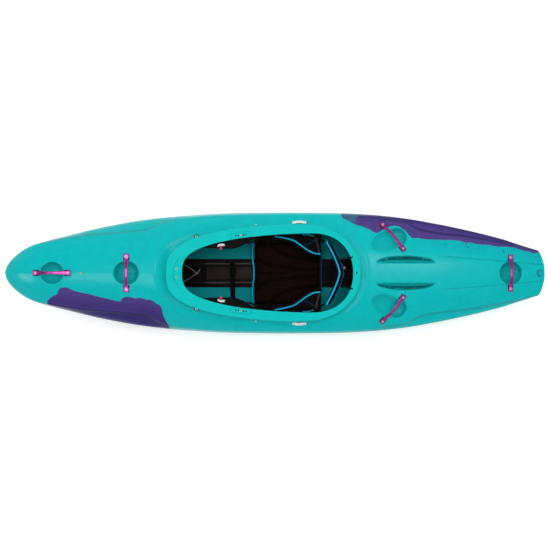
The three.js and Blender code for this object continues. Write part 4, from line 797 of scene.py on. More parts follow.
# the inner skin, seen through the cockpit
inner_counts = (26, 5, 14, 6)
inner_stations = np.linspace(0.006, 0.998, 130)
inner_rings = hull_skin(inner_stations, WALL, inner_counts, WALL)
inner_flat = inner_rings.reshape(-1, 3).copy()
size_in = inner_rings.shape[1]
above = (inner_flat[:, 2] > 150) & (inner_flat[:, 0] > -1300) & (inner_flat[:, 0] < 1300)
roof = inner_flat[above]
skin = deck_features(roof[:, 0], roof[:, 1], deck_height(roof[:, 0], roof[:, 1]))
inner_flat[above, 2] = np.minimum(roof[:, 2], skin - WALL)
col = np.arange(size_in)
col = np.minimum(col, size_in - col)
inner_faces = grid_faces(len(inner_rings), size_in)
mid = inner_flat[inner_faces].mean(1)
is_top = np.tile(col <= inner_counts[0] + inner_counts[1], len(inner_rings))[inner_faces].all(1)
gone = in_opening(mid, is_top, 2)
inner_obj = new_object("hull_lining", inner_flat, inner_faces[~gone], inside_mat)
orient(inner_obj)
bm = bmesh.new()
bm.from_mesh(inner_obj.data)
bmesh.ops.reverse_faces(bm, faces=bm.faces)
bm.to_mesh(inner_obj.data)
bm.free()
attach(inner_obj, "boat")


# The coaming
def emboss(x, y):
    """Depth of what is pressed into the rim's top: an arc behind the nose bolts and two pocket plates."""
    depth = np.zeros(len(x))
    # the arc bends round the cockpit's front
    r = np.hypot(x + 397, y * 1.12)
    arc = np.exp(-((r - 117) / 1.7) ** 2) * smooth(-410, -425, x) * smooth(84, 76, np.abs(y))
    depth += 1.3 * arc
    for side in (1, -1):
        dx, dy = x - BRACE_ROW_X, y - side * BRACE_ROW_Y
        n = math.hypot(1, BRACE_TAPER)
        u, v = (dx + dy * BRACE_TAPER * side) / n, (dy - dx * BRACE_TAPER * side) / n
        gap = np.hypot(np.maximum(np.abs(u) - 39, 0), np.maximum(np.abs(v) - 1.5, 0)) - 13
        depth += 1.1 * np.exp(-(gap / 1.5) ** 2) + 0.12 * smooth(1, -1, gap)
    return depth


def coaming_mesh():
    """The rim: a rolled lip, a broad top, its inner edge and the riser down to the deck."""
    turns = 1100
    angle_steps = np.linspace(0, 2 * math.pi, turns, endpoint=False)
    inner = inner_of(angle_steps)
    outer = outer_of(angle_steps)
    width = np.linalg.norm(outer - inner, axis=1)
    way = (outer - inner) / width[:, None]
    r, ro = 2.6, 5.0
    quarter = np.linspace(0, math.pi / 2, 7)
    rows = [(r - r * math.sin(t), 6 - r + r * math.cos(t), 0) for t in quarter]
    rows += [(r - r * math.cos(t), r - r * math.sin(t), 0) for t in quarter]
    rows += [(share, 0.0, 1) for share in np.linspace(0.08, 0.86, 32)]
    rows += [(-ro + ro * math.sin(t), ro - ro * math.cos(t), 2) for t in np.linspace(0, math.pi / 2, 8)]
    rows += [(0, 10.5, 2), (-0.8, 11.8, 2), (-2.5, 12.2, 2), (-5, 11.6, 2), (-6, 10.2, 2), (-6.2, 8, 2),
             (-8.2, 6.4, 2),
             (-14, 6.2, 2), (-16.4, 7.4, 2), (-17, 10, 2)]
    verts = []
    for off, drop, kind in rows:
        from_inner = off if kind == 0 else width * off if kind == 1 else width + off
        plan = inner + way * np.broadcast_to(from_inner, (turns,))[:, None]
        z = rim_height(plan[:, 0]) - drop
        if kind == 1:
            z = z - emboss(plan[:, 0], plan[:, 1])
        verts.append(np.column_stack([plan, z]))
    base = verts[-1][:, 2]
    root = inner + way * (width - LIP_REACH)[:, None]
    low = deck_height(root[:, 0], root[:, 1]) - 14
    for share in (0.35, 0.7, 1.0):
        verts.append(np.column_stack([root, base + (low - base) * share]))
    back = inner + way * (width - LIP_REACH - WALL)[:, None]
    under = rim_height(back[:, 0]) - 6
    for share in (1.0, 0.6, 0.25, 0.0):
        verts.append(np.column_stack([back, under + (low - under) * share]))
    for share in (0.75, 0.3):
        plan = inner + way * (width * share * 0.6)[:, None]
        verts.append(np.column_stack([plan, rim_height(plan[:, 0]) - 6]))
    verts = np.stack(verts, 1)
    n = verts.shape[1]
    q = np.arange(turns)[:, None]
    i = np.arange(n)[None, :]
    j, p = (i + 1) % n, (q + 1) % turns
    faces = np.stack([q * n + i, q * n + j, p * n + j, p * n + i], -1).reshape(-1, 4)
    verts = verts.reshape(-1, 3)
    on_top = np.abs(verts[:, 2] - rim_height(verts[:, 0])) < 2.2
    # the third value is shade painted in the lines pressed into the rim's top
    return verts, faces, np.clip(emboss(verts[:, 0], verts[:, 1]) / 1.3, 0, 1) * on_top * 0.3


rim_verts, rim_faces, rim_painted_shade = coaming_mesh()
rim_obj = new_object("coaming", rim_verts, rim_faces, rim_mat)
store_painted_shade(rim_obj, rim_painted_shade)
orient(rim_obj)
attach(rim_obj, "boat")


# Mesh makers for the fittings, in mm
def loft_faces(rows, cols, closed=False):
    faces = [list(f) for f in grid_faces(rows, cols)]
    if closed:
        last = (rows - 1) * cols
        faces += [[last + i, last + (i + 1) % cols, (i + 1) % cols, i] for i in range(cols)]
    else:
        faces += [list(range(cols))[::-1], [(rows - 1) * cols + i for i in range(cols)]]
    return faces


def loft_object(name, rings_of, mat, closed=False):
    rings_of = np.asarray(rings_of, float)
    rows, cols = rings_of.shape[:2]
    obj = new_object(name, rings_of.reshape(-1, 3), loft_faces(rows, cols, closed), mat)
    orient(obj)
    return obj


def revolve(name, profile, frame_at, mat, sides=40, closed=False):
    """A profile of (radius, height) turned about a frame's upward axis.

    It starts and ends on the axis, or it closes on itself.
    """
    o, run, across, up = frame_at
    turn = np.linspace(0, 2 * math.pi, sides, endpoint=False)
    pts = []
    for r, h in profile:
        r = max(r, 0.001)
        pts.append(o + np.outer(np.cos(turn) * r, run) + np.outer(np.sin(turn) * r, across) + up * h)
    return loft_object(name, pts, mat, closed)


def smooth_line(points, count):
    """Even points on a smooth curve through the given ones."""
    pts = np.asarray(points, float)
    run = run_of(pts)
    fine = np.linspace(0, run[-1], 800)
    tangent = np.gradient(pts, run, axis=0)
    k = np.clip(np.searchsorted(run, fine, side="right") - 1, 0, len(run) - 2)
    h = (run[k + 1] - run[k])[:, None]
    t = ((fine - run[k]) / (run[k + 1] - run[k]))[:, None]
    curve = ((2 * t ** 3 - 3 * t ** 2 + 1) * pts[k] + (t ** 3 - 2 * t ** 2 + t) * h * tangent[k]
             + (3 * t ** 2 - 2 * t ** 3) * pts[k + 1] + (t ** 3 - t ** 2) * h * tangent[k + 1])
    run = run_of(curve)
    even = np.linspace(0, run[-1], count)
    return np.stack([np.interp(even, run, curve[:, i]) for i in range(3)], -1)


def frames_along(points, up=(0, 0, 1)):
    """Points of a line with their directions along, aside and upward."""
    pts = np.asarray(points, float)
    run = np.gradient(pts, axis=0)
    run /= np.linalg.norm(run, axis=1)[:, None]
    side = np.cross(np.asarray(up, float), run)
    bad = np.linalg.norm(side, axis=1) < 1e-3
    side[bad] = (0, 1, 0)
    side /= np.linalg.norm(side, axis=1)[:, None]
    return pts, run, side, np.cross(run, side)


def tube(name, points, radius, mat, sides=12, flat=1.0, up=(0, 0, 1), ends=True):
    """A round or flattened cord along points, with rounded ends."""
    pts, run, side, top = frames_along(points, up)
    turn = np.linspace(0, 2 * math.pi, sides, endpoint=False)
    cos, sin = np.cos(turn)[:, None], np.sin(turn)[:, None]
    rounds = [cos * across + flat * sin * upward for across, upward in zip(side, top)]
    body = [point + radius * ring for point, ring in zip(pts, rounds)]
    if ends:
        caps = [[], []]
        for k in (0.35, 0.7, 0.94):
            shrink = math.sqrt(1 - k * k)
            for end, (i, way) in enumerate(((0, -1), (len(pts) - 1, 1))):
                middle = pts[i] + run[i] * way * radius * k * min(flat, 1)
                caps[end].append(middle + radius * shrink * rounds[i])
        body = caps[0][::-1] + body + caps[1]
    return loft_object(name, body, mat)


def strip(name, points, width, thick, mat, across, teeth=None, wave=None):
    """A flat strap along points, with rounded edges; teeth gives a pitch and a height."""
    pts, run, _, _ = frames_along(points)
    a = np.asarray(across, float)
    side = a - run * (run @ a)[:, None]
    side /= np.linalg.norm(side, axis=1)[:, None]
    top = np.cross(run, side)
    w, h = width / 2, thick / 2
    r = min(h * 0.9, w * 0.5)
    arcs = corner_arcs(w, h, r, 30, 4)
    line = np.array(arcs[0] + [(w * s, h) for s in (0.5, 0.0, -0.5)] + arcs[1]
                    + arcs[2] + [(w * s, -h) for s in (-0.5, 0.0, 0.5)] + arcs[3])
    length = run_of(pts)
    body = []
    for i in range(len(pts)):
        lift = 0.0
        if teeth:
            phase = (length[i] / teeth[0]) % 1
            lift = teeth[1] * (1 - phase) * (phase > 0.12)
        shape = line.copy()
        upper = shape[:, 1] > 0
        inner = np.abs(shape[:, 0]) < w * 0.7
        shape[upper & inner, 1] += lift
        if wave:
            shape[:, 1] += wave(length[i], shape[:, 0])
        body.append(pts[i] + shape[:, :1] * side[i] + shape[:, 1:] * top[i])
    return loft_object(name, body, mat)


def corner_arcs(half_x, half_y, radius, step, steps):
    """The four rounded corners of a box, each as a list of points; every step is in degrees."""
    arcs = []
    for cx, cy, start in ((1, 1, 0), (-1, 1, 90), (-1, -1, 180), (1, -1, 270)):
        turns = [math.radians(start + step * k) for k in range(steps)]
        arcs.append([(cx * (half_x - radius) + radius * math.cos(a),
                      cy * (half_y - radius) + radius * math.sin(a)) for a in turns])
    return arcs


def ready(obj, body, slot, *nodes):
    """Gives a piece its body, and hides the CAD nodes that it stands for; its slot is not used."""
    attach(obj, body)
    if nodes:
        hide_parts(*nodes)
    return obj


def join(name, objects):
    """One object made of several."""
    bm = bmesh.new()
    mats = []
    for obj in objects:
        for m in obj.data.materials:
            if m not in mats:
                mats.append(m)
    for obj in objects:
        before = len(bm.faces)
        bm.from_mesh(obj.data)
        bm.faces.ensure_lookup_table()
        shift = [mats.index(m) for m in obj.data.materials]
        for f in bm.faces[before:]:
            f.material_index = shift[f.material_index] if shift else 0
    mesh = bpy.data.meshes.new(name)
    bm.to_mesh(mesh)
    bm.free()
    for m in mats:
        mesh.materials.append(m)
    mesh.polygons.foreach_set("use_smooth", [True] * len(mesh.polygons))
    whole = bpy.data.objects.new(name, mesh)
    bpy.context.scene.collection.objects.link(whole)
    for obj in objects:
        old = obj.data
        bpy.data.objects.remove(obj)
        bpy.data.meshes.remove(old)
    return whole


def cut_away(obj, box):
    """Cuts a lofted box out of a piece."""
    cutter = loft_object("cutter", box, black_mat)
    cut = obj.modifiers.new("cut", "BOOLEAN")
    cut.object = cutter
    cut.operation = "DIFFERENCE"
    cut.solver = "EXACT"
    apply_modifiers(obj)
    bpy.data.objects.remove(cutter)


def harden(obj, degrees):
    """Keeps edges sharper than an angle crisp."""
    mesh = obj.data
    bm = bmesh.new()
    bm.from_mesh(mesh)
    limit = math.radians(degrees)
    for e in bm.edges:
        if len(e.link_faces) == 2:
            e.smooth = e.calc_face_angle(0) < limit
    bm.to_mesh(mesh)
    bm.free()
    return obj


# Materials of the fittings
def stretched(tree, coords, scale):
    made = tree.nodes.new("ShaderNodeMapping")
    made.inputs["Scale"].default_value = scale
    tree.links.new(coords, made.inputs["Vector"])
    return made.outputs[0]


def waves(tree, coords, scale, direction="X", distortion=0.0):
    made = tree.nodes.new("ShaderNodeTexWave")
    made.bands_direction = direction
    made.inputs["Scale"].default_value = scale
    made.inputs["Distortion"].default_value = distortion
    tree.links.new(coords, made.inputs["Vector"])
    return made.outputs[1]


def edge_wear(tree):
    """A share that is high on sharp outer edges."""
    return tree.nodes.new("ShaderNodeNewGeometry").outputs["Pointiness"]


def moulded(name, dark, light, rough, grain=380.0, depth=0.0003, shine=0.5):
    mat, tree, shader = material(name)
    coords = coords_of(tree)
    fine = noise(tree, coords, grain, 3, 0.6)
    broad = noise(tree, coords, 28, 3, 0.6)
    color = mix_color(tree, span(tree, broad, 0.3, 0.7), dark, light)
    worn = span(tree, edge_wear(tree), 0.53, 0.6, 0, 0.35)
    brighter = tuple(min(1, c * 1.8 + 0.01) for c in light)
    set_inputs(shader, Base_Color=mix_color(tree, worn, color, brighter),
               Roughness=span(tree, fine, 0.25, 0.75, rough - 0.06, rough + 0.08),
               Specular_IOR_Level=shine)
    bump(tree, shader, fine, 0.3, depth)
    return mat


def metal(name, dark, light, rough, direction=(1, 1, 14), scale=160.0, metallic=1.0, edge=None):
    mat, tree, shader = material(name)
    shader.inputs["Metallic"].default_value = metallic
    coords = coords_of(tree)
    lines = noise(tree, stretched(tree, coords, direction), scale, 3, 0.7)
    broad = noise(tree, coords, 40, 3, 0.6)
    color = mix_color(tree, span(tree, broad, 0.3, 0.7), dark, light)
    # painted reflection: where the surface turns away from the eye the colour goes to edge, as a dark
    # surround would reflect
    if edge:
        facing = tree.nodes.new("ShaderNodeLayerWeight")
        facing.inputs["Blend"].default_value = 0.5
        color = mix_color(tree, span(tree, facing.outputs["Facing"], 0.1, 0.5), color, edge)
    set_inputs(shader, Base_Color=color,
               Roughness=span(tree, lines, 0.25, 0.75, rough - 0.07, rough + 0.1))
    bump(tree, shader, lines, 0.12, 0.0002)
    return mat


def woven(name, dark, light, pitch=0.0011, rough=0.82, depth=0.00035, sheen=0.03, shine=0.15):
    """Plain-woven cloth: two crossing sets of threads, with lint and rubbed patches."""
    mat, tree, shader = material(name)
    coords = coords_of(tree)
    scale = 1 / pitch / 3.1416
    warp = waves(tree, coords, scale, "X", 0.4)
    weft = waves(tree, coords, scale, "Y", 0.4)
    rise = waves(tree, coords, scale, "Z", 0.4)
    threads = higher(tree, higher(tree, warp, weft), times(tree, rise, 0.9))
    lint = noise(tree, coords, 900, 3, 0.7)
    broad = noise(tree, coords, 14, 4, 0.6)
    share = plus(tree, times(tree, span(tree, broad, 0.3, 0.7), 0.55),
                 times(tree, span(tree, lint, 0.4, 0.75), 0.45))
    # painted shade: where the points carry it, in the seat's channels, the cloth turns near black
    pressed = painted_shade_of(tree)
    color = mix_color(tree, pressed, mix_color(tree, share, dark, light), (0.0001, 0.0001, 0.0001))
    set_inputs(shader, Base_Color=color,
               Roughness=span(tree, broad, 0.3, 0.7, rough - 0.06, rough + 0.06),
               Specular_IOR_Level=shine, Sheen_Weight=sheen, Sheen_Roughness=0.5)
    bump(tree, shader, plus(tree, threads, times(tree, lint, 0.5)), 0.5, depth)
    return mat


def cellular(name, dark, light):
    """Closed-cell foam with small pits."""
    mat, tree, shader = material(name)
    coords = coords_of(tree)
    cells = tree.nodes.new("ShaderNodeTexVoronoi")
    cells.inputs["Scale"].default_value = 420.0
    tree.links.new(coords, cells.inputs["Vector"])
    broad = noise(tree, coords, 18, 3, 0.6)
    set_inputs(shader, Base_Color=mix_color(tree, span(tree, broad, 0.3, 0.7), dark, light),
               Roughness=0.9, Specular_IOR_Level=0.15)
    bump(tree, shader, cells.outputs[0], 0.5, 0.0005)
    return mat


def braided(name, dark, light, pitch=0.0016):
    mat, tree, shader = material(name)
    coords = coords_of(tree)
    scale = 1 / pitch / 3.1416
    a = waves(tree, stretched(tree, coords, (1, 1, 1)), scale, "DIAGONAL", 0.6)
    b = waves(tree, stretched(tree, coords, (1, -1, 1)), scale, "DIAGONAL", 0.6)
    plait = higher(tree, a, b)
    lint = noise(tree, coords, 800, 2, 0.6)
    share = times(tree, plus(tree, plait, lint), 0.5)
    set_inputs(shader, Base_Color=mix_color(tree, share, dark, light), Roughness=0.7,
               Specular_IOR_Level=0.2)
    bump(tree, shader, plait, 0.5, 0.0004)
    return mat


steel_mat = metal("steel", (0.80, 0.74, 0.70), (0.92, 0.87, 0.83), 0.3, metallic=0.75)
bright_mat = metal("bright_steel", (0.93, 0.88, 0.85), (0.97, 0.94, 0.92), 0.35, metallic=0.3)
brass_mat = metal("brass", (0.62, 0.30, 0.07), (0.78, 0.42, 0.14), 0.36)
# the anodised handles get a dark painted reflection on their edges
anodised_mat = metal("anodised", (0.53, 0.030, 0.36), (0.58, 0.042, 0.40), 0.33, (1, 1, 1), 700.0,
                     metallic=0.8, edge=(0.035, 0.001, 0.045))
anodised_mat.node_tree.nodes["Principled BSDF"].inputs["Coat Weight"].default_value = 0.6
anodised_mat.node_tree.nodes["Principled BSDF"].inputs["Coat Roughness"].default_value = 0.2
black_mat = moulded("black_plastic", (0.0026, 0.0022, 0.0021), (0.0055, 0.0046, 0.0043), 0.3, shine=0.1)
tray_mat = moulded("tray_plastic", (0.0028, 0.0019, 0.0017), (0.0055, 0.0038, 0.0034), 0.32, 60.0, 0.0004,
                   shine=0.1)
panel_mat = moulded("panel_plastic", (0.016, 0.0098, 0.0084), (0.027, 0.0172, 0.0148), 0.36, 60.0, 0.0004,
                    shine=0.15)
# a lighter plastic for strips on the spine's rails: painted highlights
rail_highlight_mat = moulded("painted_rail_highlight", (0.050, 0.034, 0.031), (0.078, 0.056, 0.052), 0.36, 60.0, 0.0004,
                   shine=0.3)
ring_mat = moulded("ring_plastic", (0.003, 0.11, 0.22), (0.004, 0.15, 0.28), 0.4, shine=0.15)
# dark pads under the handles' feet, which stand in for the shade round them
foot_shade_mat = moulded("painted_foot_shade", (0.004, 0.004, 0.006), (0.008, 0.008, 0.011), 0.6, shine=0.15)
foam_mat = cellular("foam", (0.004, 0.0034, 0.0032), (0.010, 0.0085, 0.008))
stern_foam_mat = cellular("stern_foam", (0.016, 0.0092, 0.0078), (0.028, 0.0165, 0.0140))
cloth_mat = woven("seat_cloth", (0.0085, 0.0030, 0.0025), (0.0150, 0.0056, 0.0046), sheen=0.008, shine=0.06)
tape_mat = woven("hook_tape", (0.030, 0.023, 0.021), (0.062, 0.049, 0.045), 0.0012, 0.8, 0.0004)
side_cloth_mat = woven("side_cloth", (0.0018, 0.0018, 0.0022), (0.0050, 0.0050, 0.0060), 0.0009)
trim_mat = woven("cyan_trim", (0.004, 0.42, 0.72), (0.008, 0.58, 0.88), 0.0014, 0.6, 0.0003)
deep_trim_mat = woven("blue_trim", (0.002, 0.05, 0.16), (0.003, 0.09, 0.25), 0.0014, 0.6, 0.0003)
webbing_mat = woven("webbing", (0.0025, 0.0025, 0.0027), (0.0075, 0.0075, 0.0078), 0.0018, 0.75, 0.0005)
grey_cord_mat = braided("grey_cord", (0.17, 0.15, 0.15), (0.46, 0.43, 0.42))
blue_cord_mat = braided("blue_cord", (0.003, 0.08, 0.26), (0.008, 0.19, 0.52))
pink_mat = moulded("pink_plastic", (0.66, 0.006, 0.10), (0.78, 0.012, 0.16), 0.35)
white_mat = moulded("white_plastic", (0.66, 0.64, 0.62), (0.80, 0.78, 0.76), 0.35)
grey_mat = moulded("grey_plastic", (0.10, 0.09, 0.09), (0.16, 0.15, 0.15), 0.4)
plug_mat = moulded("plug_plastic", (0.003, 0.35, 0.43), (0.004, 0.41, 0.49), 0.4, shine=0.1)
thread_mat = braided("thread", (0.0008, 0.0008, 0.0008), (0.002, 0.002, 0.002), 0.0008)


# Grab handles, bars and their bolts
# Clearance between a fitting and what it stands on, in mm
GAP = 0.3


def hex_bolt(name, frame_at, seat, head, height, mat=None, square=False):
    """A domed bolt head with a socket in it, above a frame's plane at a seat height."""
    o, run, across, up = frame_at
    o = o + up * seat
    sides = 24
    turn = np.linspace(0, 2 * math.pi, sides, endpoint=False)
    corners = 4 if square else 6
    phase = (turn * corners / (2 * math.pi)) % 1 - 0.5
    socket = head * 0.44 * math.cos(math.pi / corners) / np.cos(phase * 2 * math.pi / corners)
    loops = [(np.full(sides, 0.01), 0.0), (np.full(sides, head * 0.97), 0.0),
             (np.full(sides, head), height * 0.12),
             (np.full(sides, head * 0.97), height * 0.42), (np.full(sides, head * 0.86), height * 0.74),
             (np.full(sides, head * 0.7), height * 0.93), (np.full(sides, head * 0.58), height),
             (socket * 1.06, height), (socket, height * 0.93), (socket * 0.98, height * 0.25),
             (np.full(sides, 0.01), height * 0.2)]
    pts = [o + np.outer(np.cos(turn) * r, run) + np.outer(np.sin(turn) * r, across) + up * h
           for r, h in loops]
    bolt = loft_object(name, pts, mat or steel_mat)
    harden(bolt, 50)
    # a black disc on the socket's floor stands in for the shade in the socket
    dark = [o + np.outer(np.cos(turn) * r, run) + np.outer(np.sin(turn) * r, across) + up * h
            for r, h in [(np.full(sides, 0.01), height * 0.27), (socket * 0.93, height * 0.27),
                         (socket * 0.93, height * 0.3),
                         (np.full(sides, 0.01), height * 0.3)]]
    return join(name, [bolt, loft_object(name + "_socket", dark, black_mat)])


def grab_handle(name, f, size, mat):
    """A forged strap: broad flat feet with eased corners and a rounded, waisted, arched middle."""
    o, run, across, up = f
    half = size["spacing"] / 2 + size["end"]
    flat_end = half - size["end"] - size["ramp_start"]
    offsets = list(half - 3.2 * (1 - np.cos(np.linspace(0, math.pi / 2, 6))))
    offsets += list(np.linspace(half - 5, flat_end, 7))
    offsets += list(np.linspace(flat_end, 0, 26))[1:-1]
    places = np.array(offsets + [0] + [-v for v in offsets[::-1]])
    body = []
    for x in places:
        off = abs(x)
        t = np.clip((flat_end - off) / size["ramp_run"], 0, 1)
        rise = t * t * (3 - 2 * t)
        narrow = np.clip((flat_end + 6 - off) / (flat_end + 6), 0, 1)
        waist = size["waist"] - 1.5
        w = (size["pad"] + (waist - size["pad"]) * (narrow ** 0.55)) / 2
        tip = 3.2 - math.sqrt(max(0, 3.2 ** 2 - max(0, off - half + 3.2) ** 2))
        w -= tip * 0.9
        low = GAP + size["arch"] * rise
        high = low + size["foot"] + (size["middle"] - size["foot"]) * rise - tip * 0.3
        h = (high - low) / 2
        mid = (high + low) / 2
        r = min(h * 0.92, w * 0.6)
        arcs = corner_arcs(w, h, r, 22.5, 5)
        ring = (arcs[0] + [((w - r) * s, h) for s in (0.5, 0, -0.5)] + arcs[1]
                + arcs[2] + [((w - r) * s, -h) for s in (-0.5, 0, 0.5)] + arcs[3])
        body.append([o + run * x + across * u + up * (v + mid) for u, v in ring])
    return loft_object(name, body, mat)


def foot_shade_pad(name, f, x, length, width, lift):
    """A thin dark pad that shows round a handle's foot: it stands in for the shade round the foot."""
    o, run, across, up = f
    line = [(x + u, v) for arc in corner_arcs(length / 2, width / 2, 4, 22.5, 5) for u, v in arc]
    body = []
    for grow, h in ((-0.4, lift - 1.1), (0, lift - 0.9), (0, lift), (-0.5, lift + 0.28)):
        ring = []
        for u, v in line:
            d = np.array([u - x, v])
            d = d * (1 + grow / np.linalg.norm(d))
            ring.append(o + run * (x + d[0]) + across * d[1] + up * h)
        body.append(ring)
    return loft_object(name, body, foot_shade_mat)


GRAB = dict(spacing=158, end=13, pad=24, waist=14.5, foot=5, middle=8, arch=13, ramp_start=6, ramp_run=58)
BAR = dict(spacing=54, end=8, pad=15, waist=16.5, foot=3, middle=4, arch=4, ramp_start=7, ramp_run=9)
for handle in HANDLES:
    f = lifted(FRAMES[handle], LAND_LIFT)
    ready(grab_handle(handle + "_grip", f, GRAB, anodised_mat), "boat", "anodised", handle)
    for tag, side in (("a", -1), ("b", 1)):
        # a dark pad under each foot, standing in for shade
        ready(foot_shade_pad(f"{handle}_pad_{tag}", f, side * 76.5, 34, 28.5, 0), "boat", "black_plastic")
        at = (f[0] + f[1] * side * 79, f[1], f[2], f[3])
        ready(hex_bolt(f"{handle}_screw_{tag}", at, GAP * 2 + 5, 5.8, 3), "boat", "steel",
              f"{handle}_bolt_{tag}")
for bar in BARS:
    f = lifted(FRAMES[bar], LAND_LIFT)
    ready(grab_handle(bar + "_strap", f, BAR, bright_mat), "boat", "steel", bar)
    for tag, side in (("a", -1), ("b", 1)):
        at = (f[0] + f[1] * side * 27, f[1], f[2], f[3])
        ready(hex_bolt(f"{bar}_screw_{tag}", at, GAP * 2 + 3, 3.2, 2), "boat", "steel", f"{bar}_bolt_{tag}")

for spot, (head, height) in {"deck_bolt_right": (7.5, 3.2), "deck_bolt_left": (7.5, 3.2),
                             "side_bolt_right": (5, 2.6),
                             "side_bolt_left": (5, 2.6), "foredeck_screw": (5.2, 2)}.items():
    f = spot_frame(*SPOTS[spot])
    mat = brass_mat if spot == "foredeck_screw" else steel_mat
    ready(hex_bolt(spot + "_head", f, GAP, head, height, mat, spot == "foredeck_screw"),
          "boat", "brass" if mat is brass_mat else "steel", spot)


def brace_row(side):
    """Place and slant of a thigh brace's row of holes, for rim_frame."""
    return BRACE_ROW_X, side * BRACE_ROW_Y, side * BRACE_TAPER


def rim_frame(x, y, taper=0.0):
    run = np.array([1, taper, -RIM_SLOPE])
    up = np.array([RIM_SLOPE, 0, 1])
    run /= np.linalg.norm(run)
    up /= np.linalg.norm(up)
    across = np.cross(up, run)
    across /= np.linalg.norm(across)
    return np.array([x, y, float(rim_height(x))]), run, across, up


for hand, side in HANDS:
    ready(hex_bolt(f"nose_bolt_{hand}_head", rim_frame(-496, side * 21), GAP, 5.5, 2.6), "boat", "steel",
          f"nose_bolt_{hand}")
    row = rim_frame(*brace_row(side))
    ready(hex_bolt(f"brace_bolt_{hand}_head", row, GAP, 5.5, 2.6), "boat", "steel", f"brace_bolt_{hand}")
    # black discs stand in for the adjusting holes, which are not cut: painted shade
    for k in (-2, -1, 1, 2):
        at = (row[0] + row[1] * 12.5 * k, *row[1:])
        eye = revolve(f"adjust_hole_{hand}_{k + 2}", [(0, -1.6), (3.7, -1.6), (3.7, 0.06), (0, 0.07)], at,
                      black_mat, 16)
        ready(eye, "boat", "black_plastic")
# the tie hole is a black disc as well, standing in for its shade
tie = revolve("tie_hole", [(0, -1.6), (6.0, -1.6), (6.0, 0.06), (0, 0.07)], rim_frame(388, 0), black_mat,
              20)
ready(tie, "boat", "black_plastic")

# The drain: its flanged bush and the plug's knurled cap with a slot
drain_at = lifted(spot_frame(*SPOTS["drain_bush"]), LAND_LIFT)
bush = revolve("drain_flange", [(11, -8), (13, -8), (13, 0.3), (16.4, 0.3), (17, 0.9), (16.7, 1.9),
                                (15.8, 2.5), (11.6, 2.5), (11, 2.1)],
               drain_at, ring_mat, 48, closed=True)
ready(bush, "boat", "black_plastic", "drain_bush")


def plug():
    o, run, across, up = drain_at
    sides = 72
    turn = np.linspace(0, 2 * math.pi, sides, endpoint=False)
    knurl = 0.45 * np.cos(turn * 18)
    loops = [(0.01, -8, 0), (10.3, -8, 0), (10.6, -7.4, 0), (10.6, 2.9, 0), (13.8, 2.9, 0.4),
             (14.2, 3.3, 1), (14.2, 5.6, 1),
             (13.3, 6.5, 0.5), (12.2, 6.75, 0), (9.2, 6.75, 0), (8.6, 6.2, 0), (0.01, 6.2, 0)]
    pts = []
    for r, h, share in loops:
        reach = r + knurl * share
        pts.append(o + np.outer(np.cos(turn) * reach, run) + np.outer(np.sin(turn) * reach, across) + up
                   * h)
    cap = loft_object("cap", pts, plug_mat)
    bar = []
    for x in (-8.2, -7.6, 7.6, 8.2):
        inset = 0.5 if abs(x) > 8 else 0
        w, h = 1.7 - inset, 6.9 - inset
        bar.append([o + run * x + across * u + up * v for u, v in
                    ((-w, 6.1), (w, 6.1), (w, h - 0.4), (w - 0.4, h), (-w + 0.4, h), (-w, h - 0.4))])
    return join("drain_plug_cap", [cap, loft_object("bar", bar, plug_mat)])


ready(plug(), "plug", "plug", "drain_plug")


# The seat: a cushion, two hip pads and a backrest, each blown up a little by a cloth run
SEAT_LOW = 42.6
HIP_FACE = [(0, 0.9), (0.2, 0.86), (0.42, 0.79), (0.58, 0.67), (0.74, 0.545), (0.87, 0.475), (1, 0.46)]
OUTER_CHANNEL = [(0, 1.05), (0.16, 1.02), (0.33, 0.73), (0.53, 0.53), (0.75, 0.43), (1, 0.39)]
INNER_CHANNEL = [(0, 0.56), (0.12, 0.36), (0.25, 0.24), (0.45, 0.18), (0.7, 0.13), (1, 0.11)]
PAD_FRONT, PAD_REAR, PAD_HALF = -130.0, 224.0, 168.0


def hip_face(x):
    return 205 * along(HIP_FACE, (np.asarray(x, float) + 20) / 231)


def pad_half(x):
    return np.where(x > -20, np.minimum(PAD_HALF, hip_face(x) - 4), PAD_HALF)


def front_edge(y):
    return -127.5 - 8.5 * np.sin(math.pi * np.abs(y) / 205) ** 2


def pad_place(share, v, draw=0.0):
    """Plan place on the seat cushion for a share of its length and of its half breadth."""
    x = PAD_FRONT + (PAD_REAR - PAD_FRONT) * share
    half = pad_half(x) - draw
    y = v * half
    x = x + (front_edge(y) - PAD_FRONT) * (1 - share) ** 2
    x = x + draw * (1 - 2 * share)
    return x, y


def pad_top(share, v):
    ends = np.minimum(1, np.minimum(share / 0.12, (1 - share) / 0.08))
    crown = np.sqrt(np.clip(1 - (1 - ends) ** 2, 0, 1)) * np.sqrt(np.clip(1 - v ** 8, 0, 1))
    thigh = 13 * np.exp(-((share - 0.16) / 0.16) ** 2)
    side = 26 * v ** 4 * np.clip(1 - share * 2, 0, 1)
    return SEAT_LOW + 16 + (12 + thigh + side) * crown


VOXEL = 0.0045
PRESSURE, STIFFNESS, CLOTH_FRAMES = 4.0, 15.0, 20


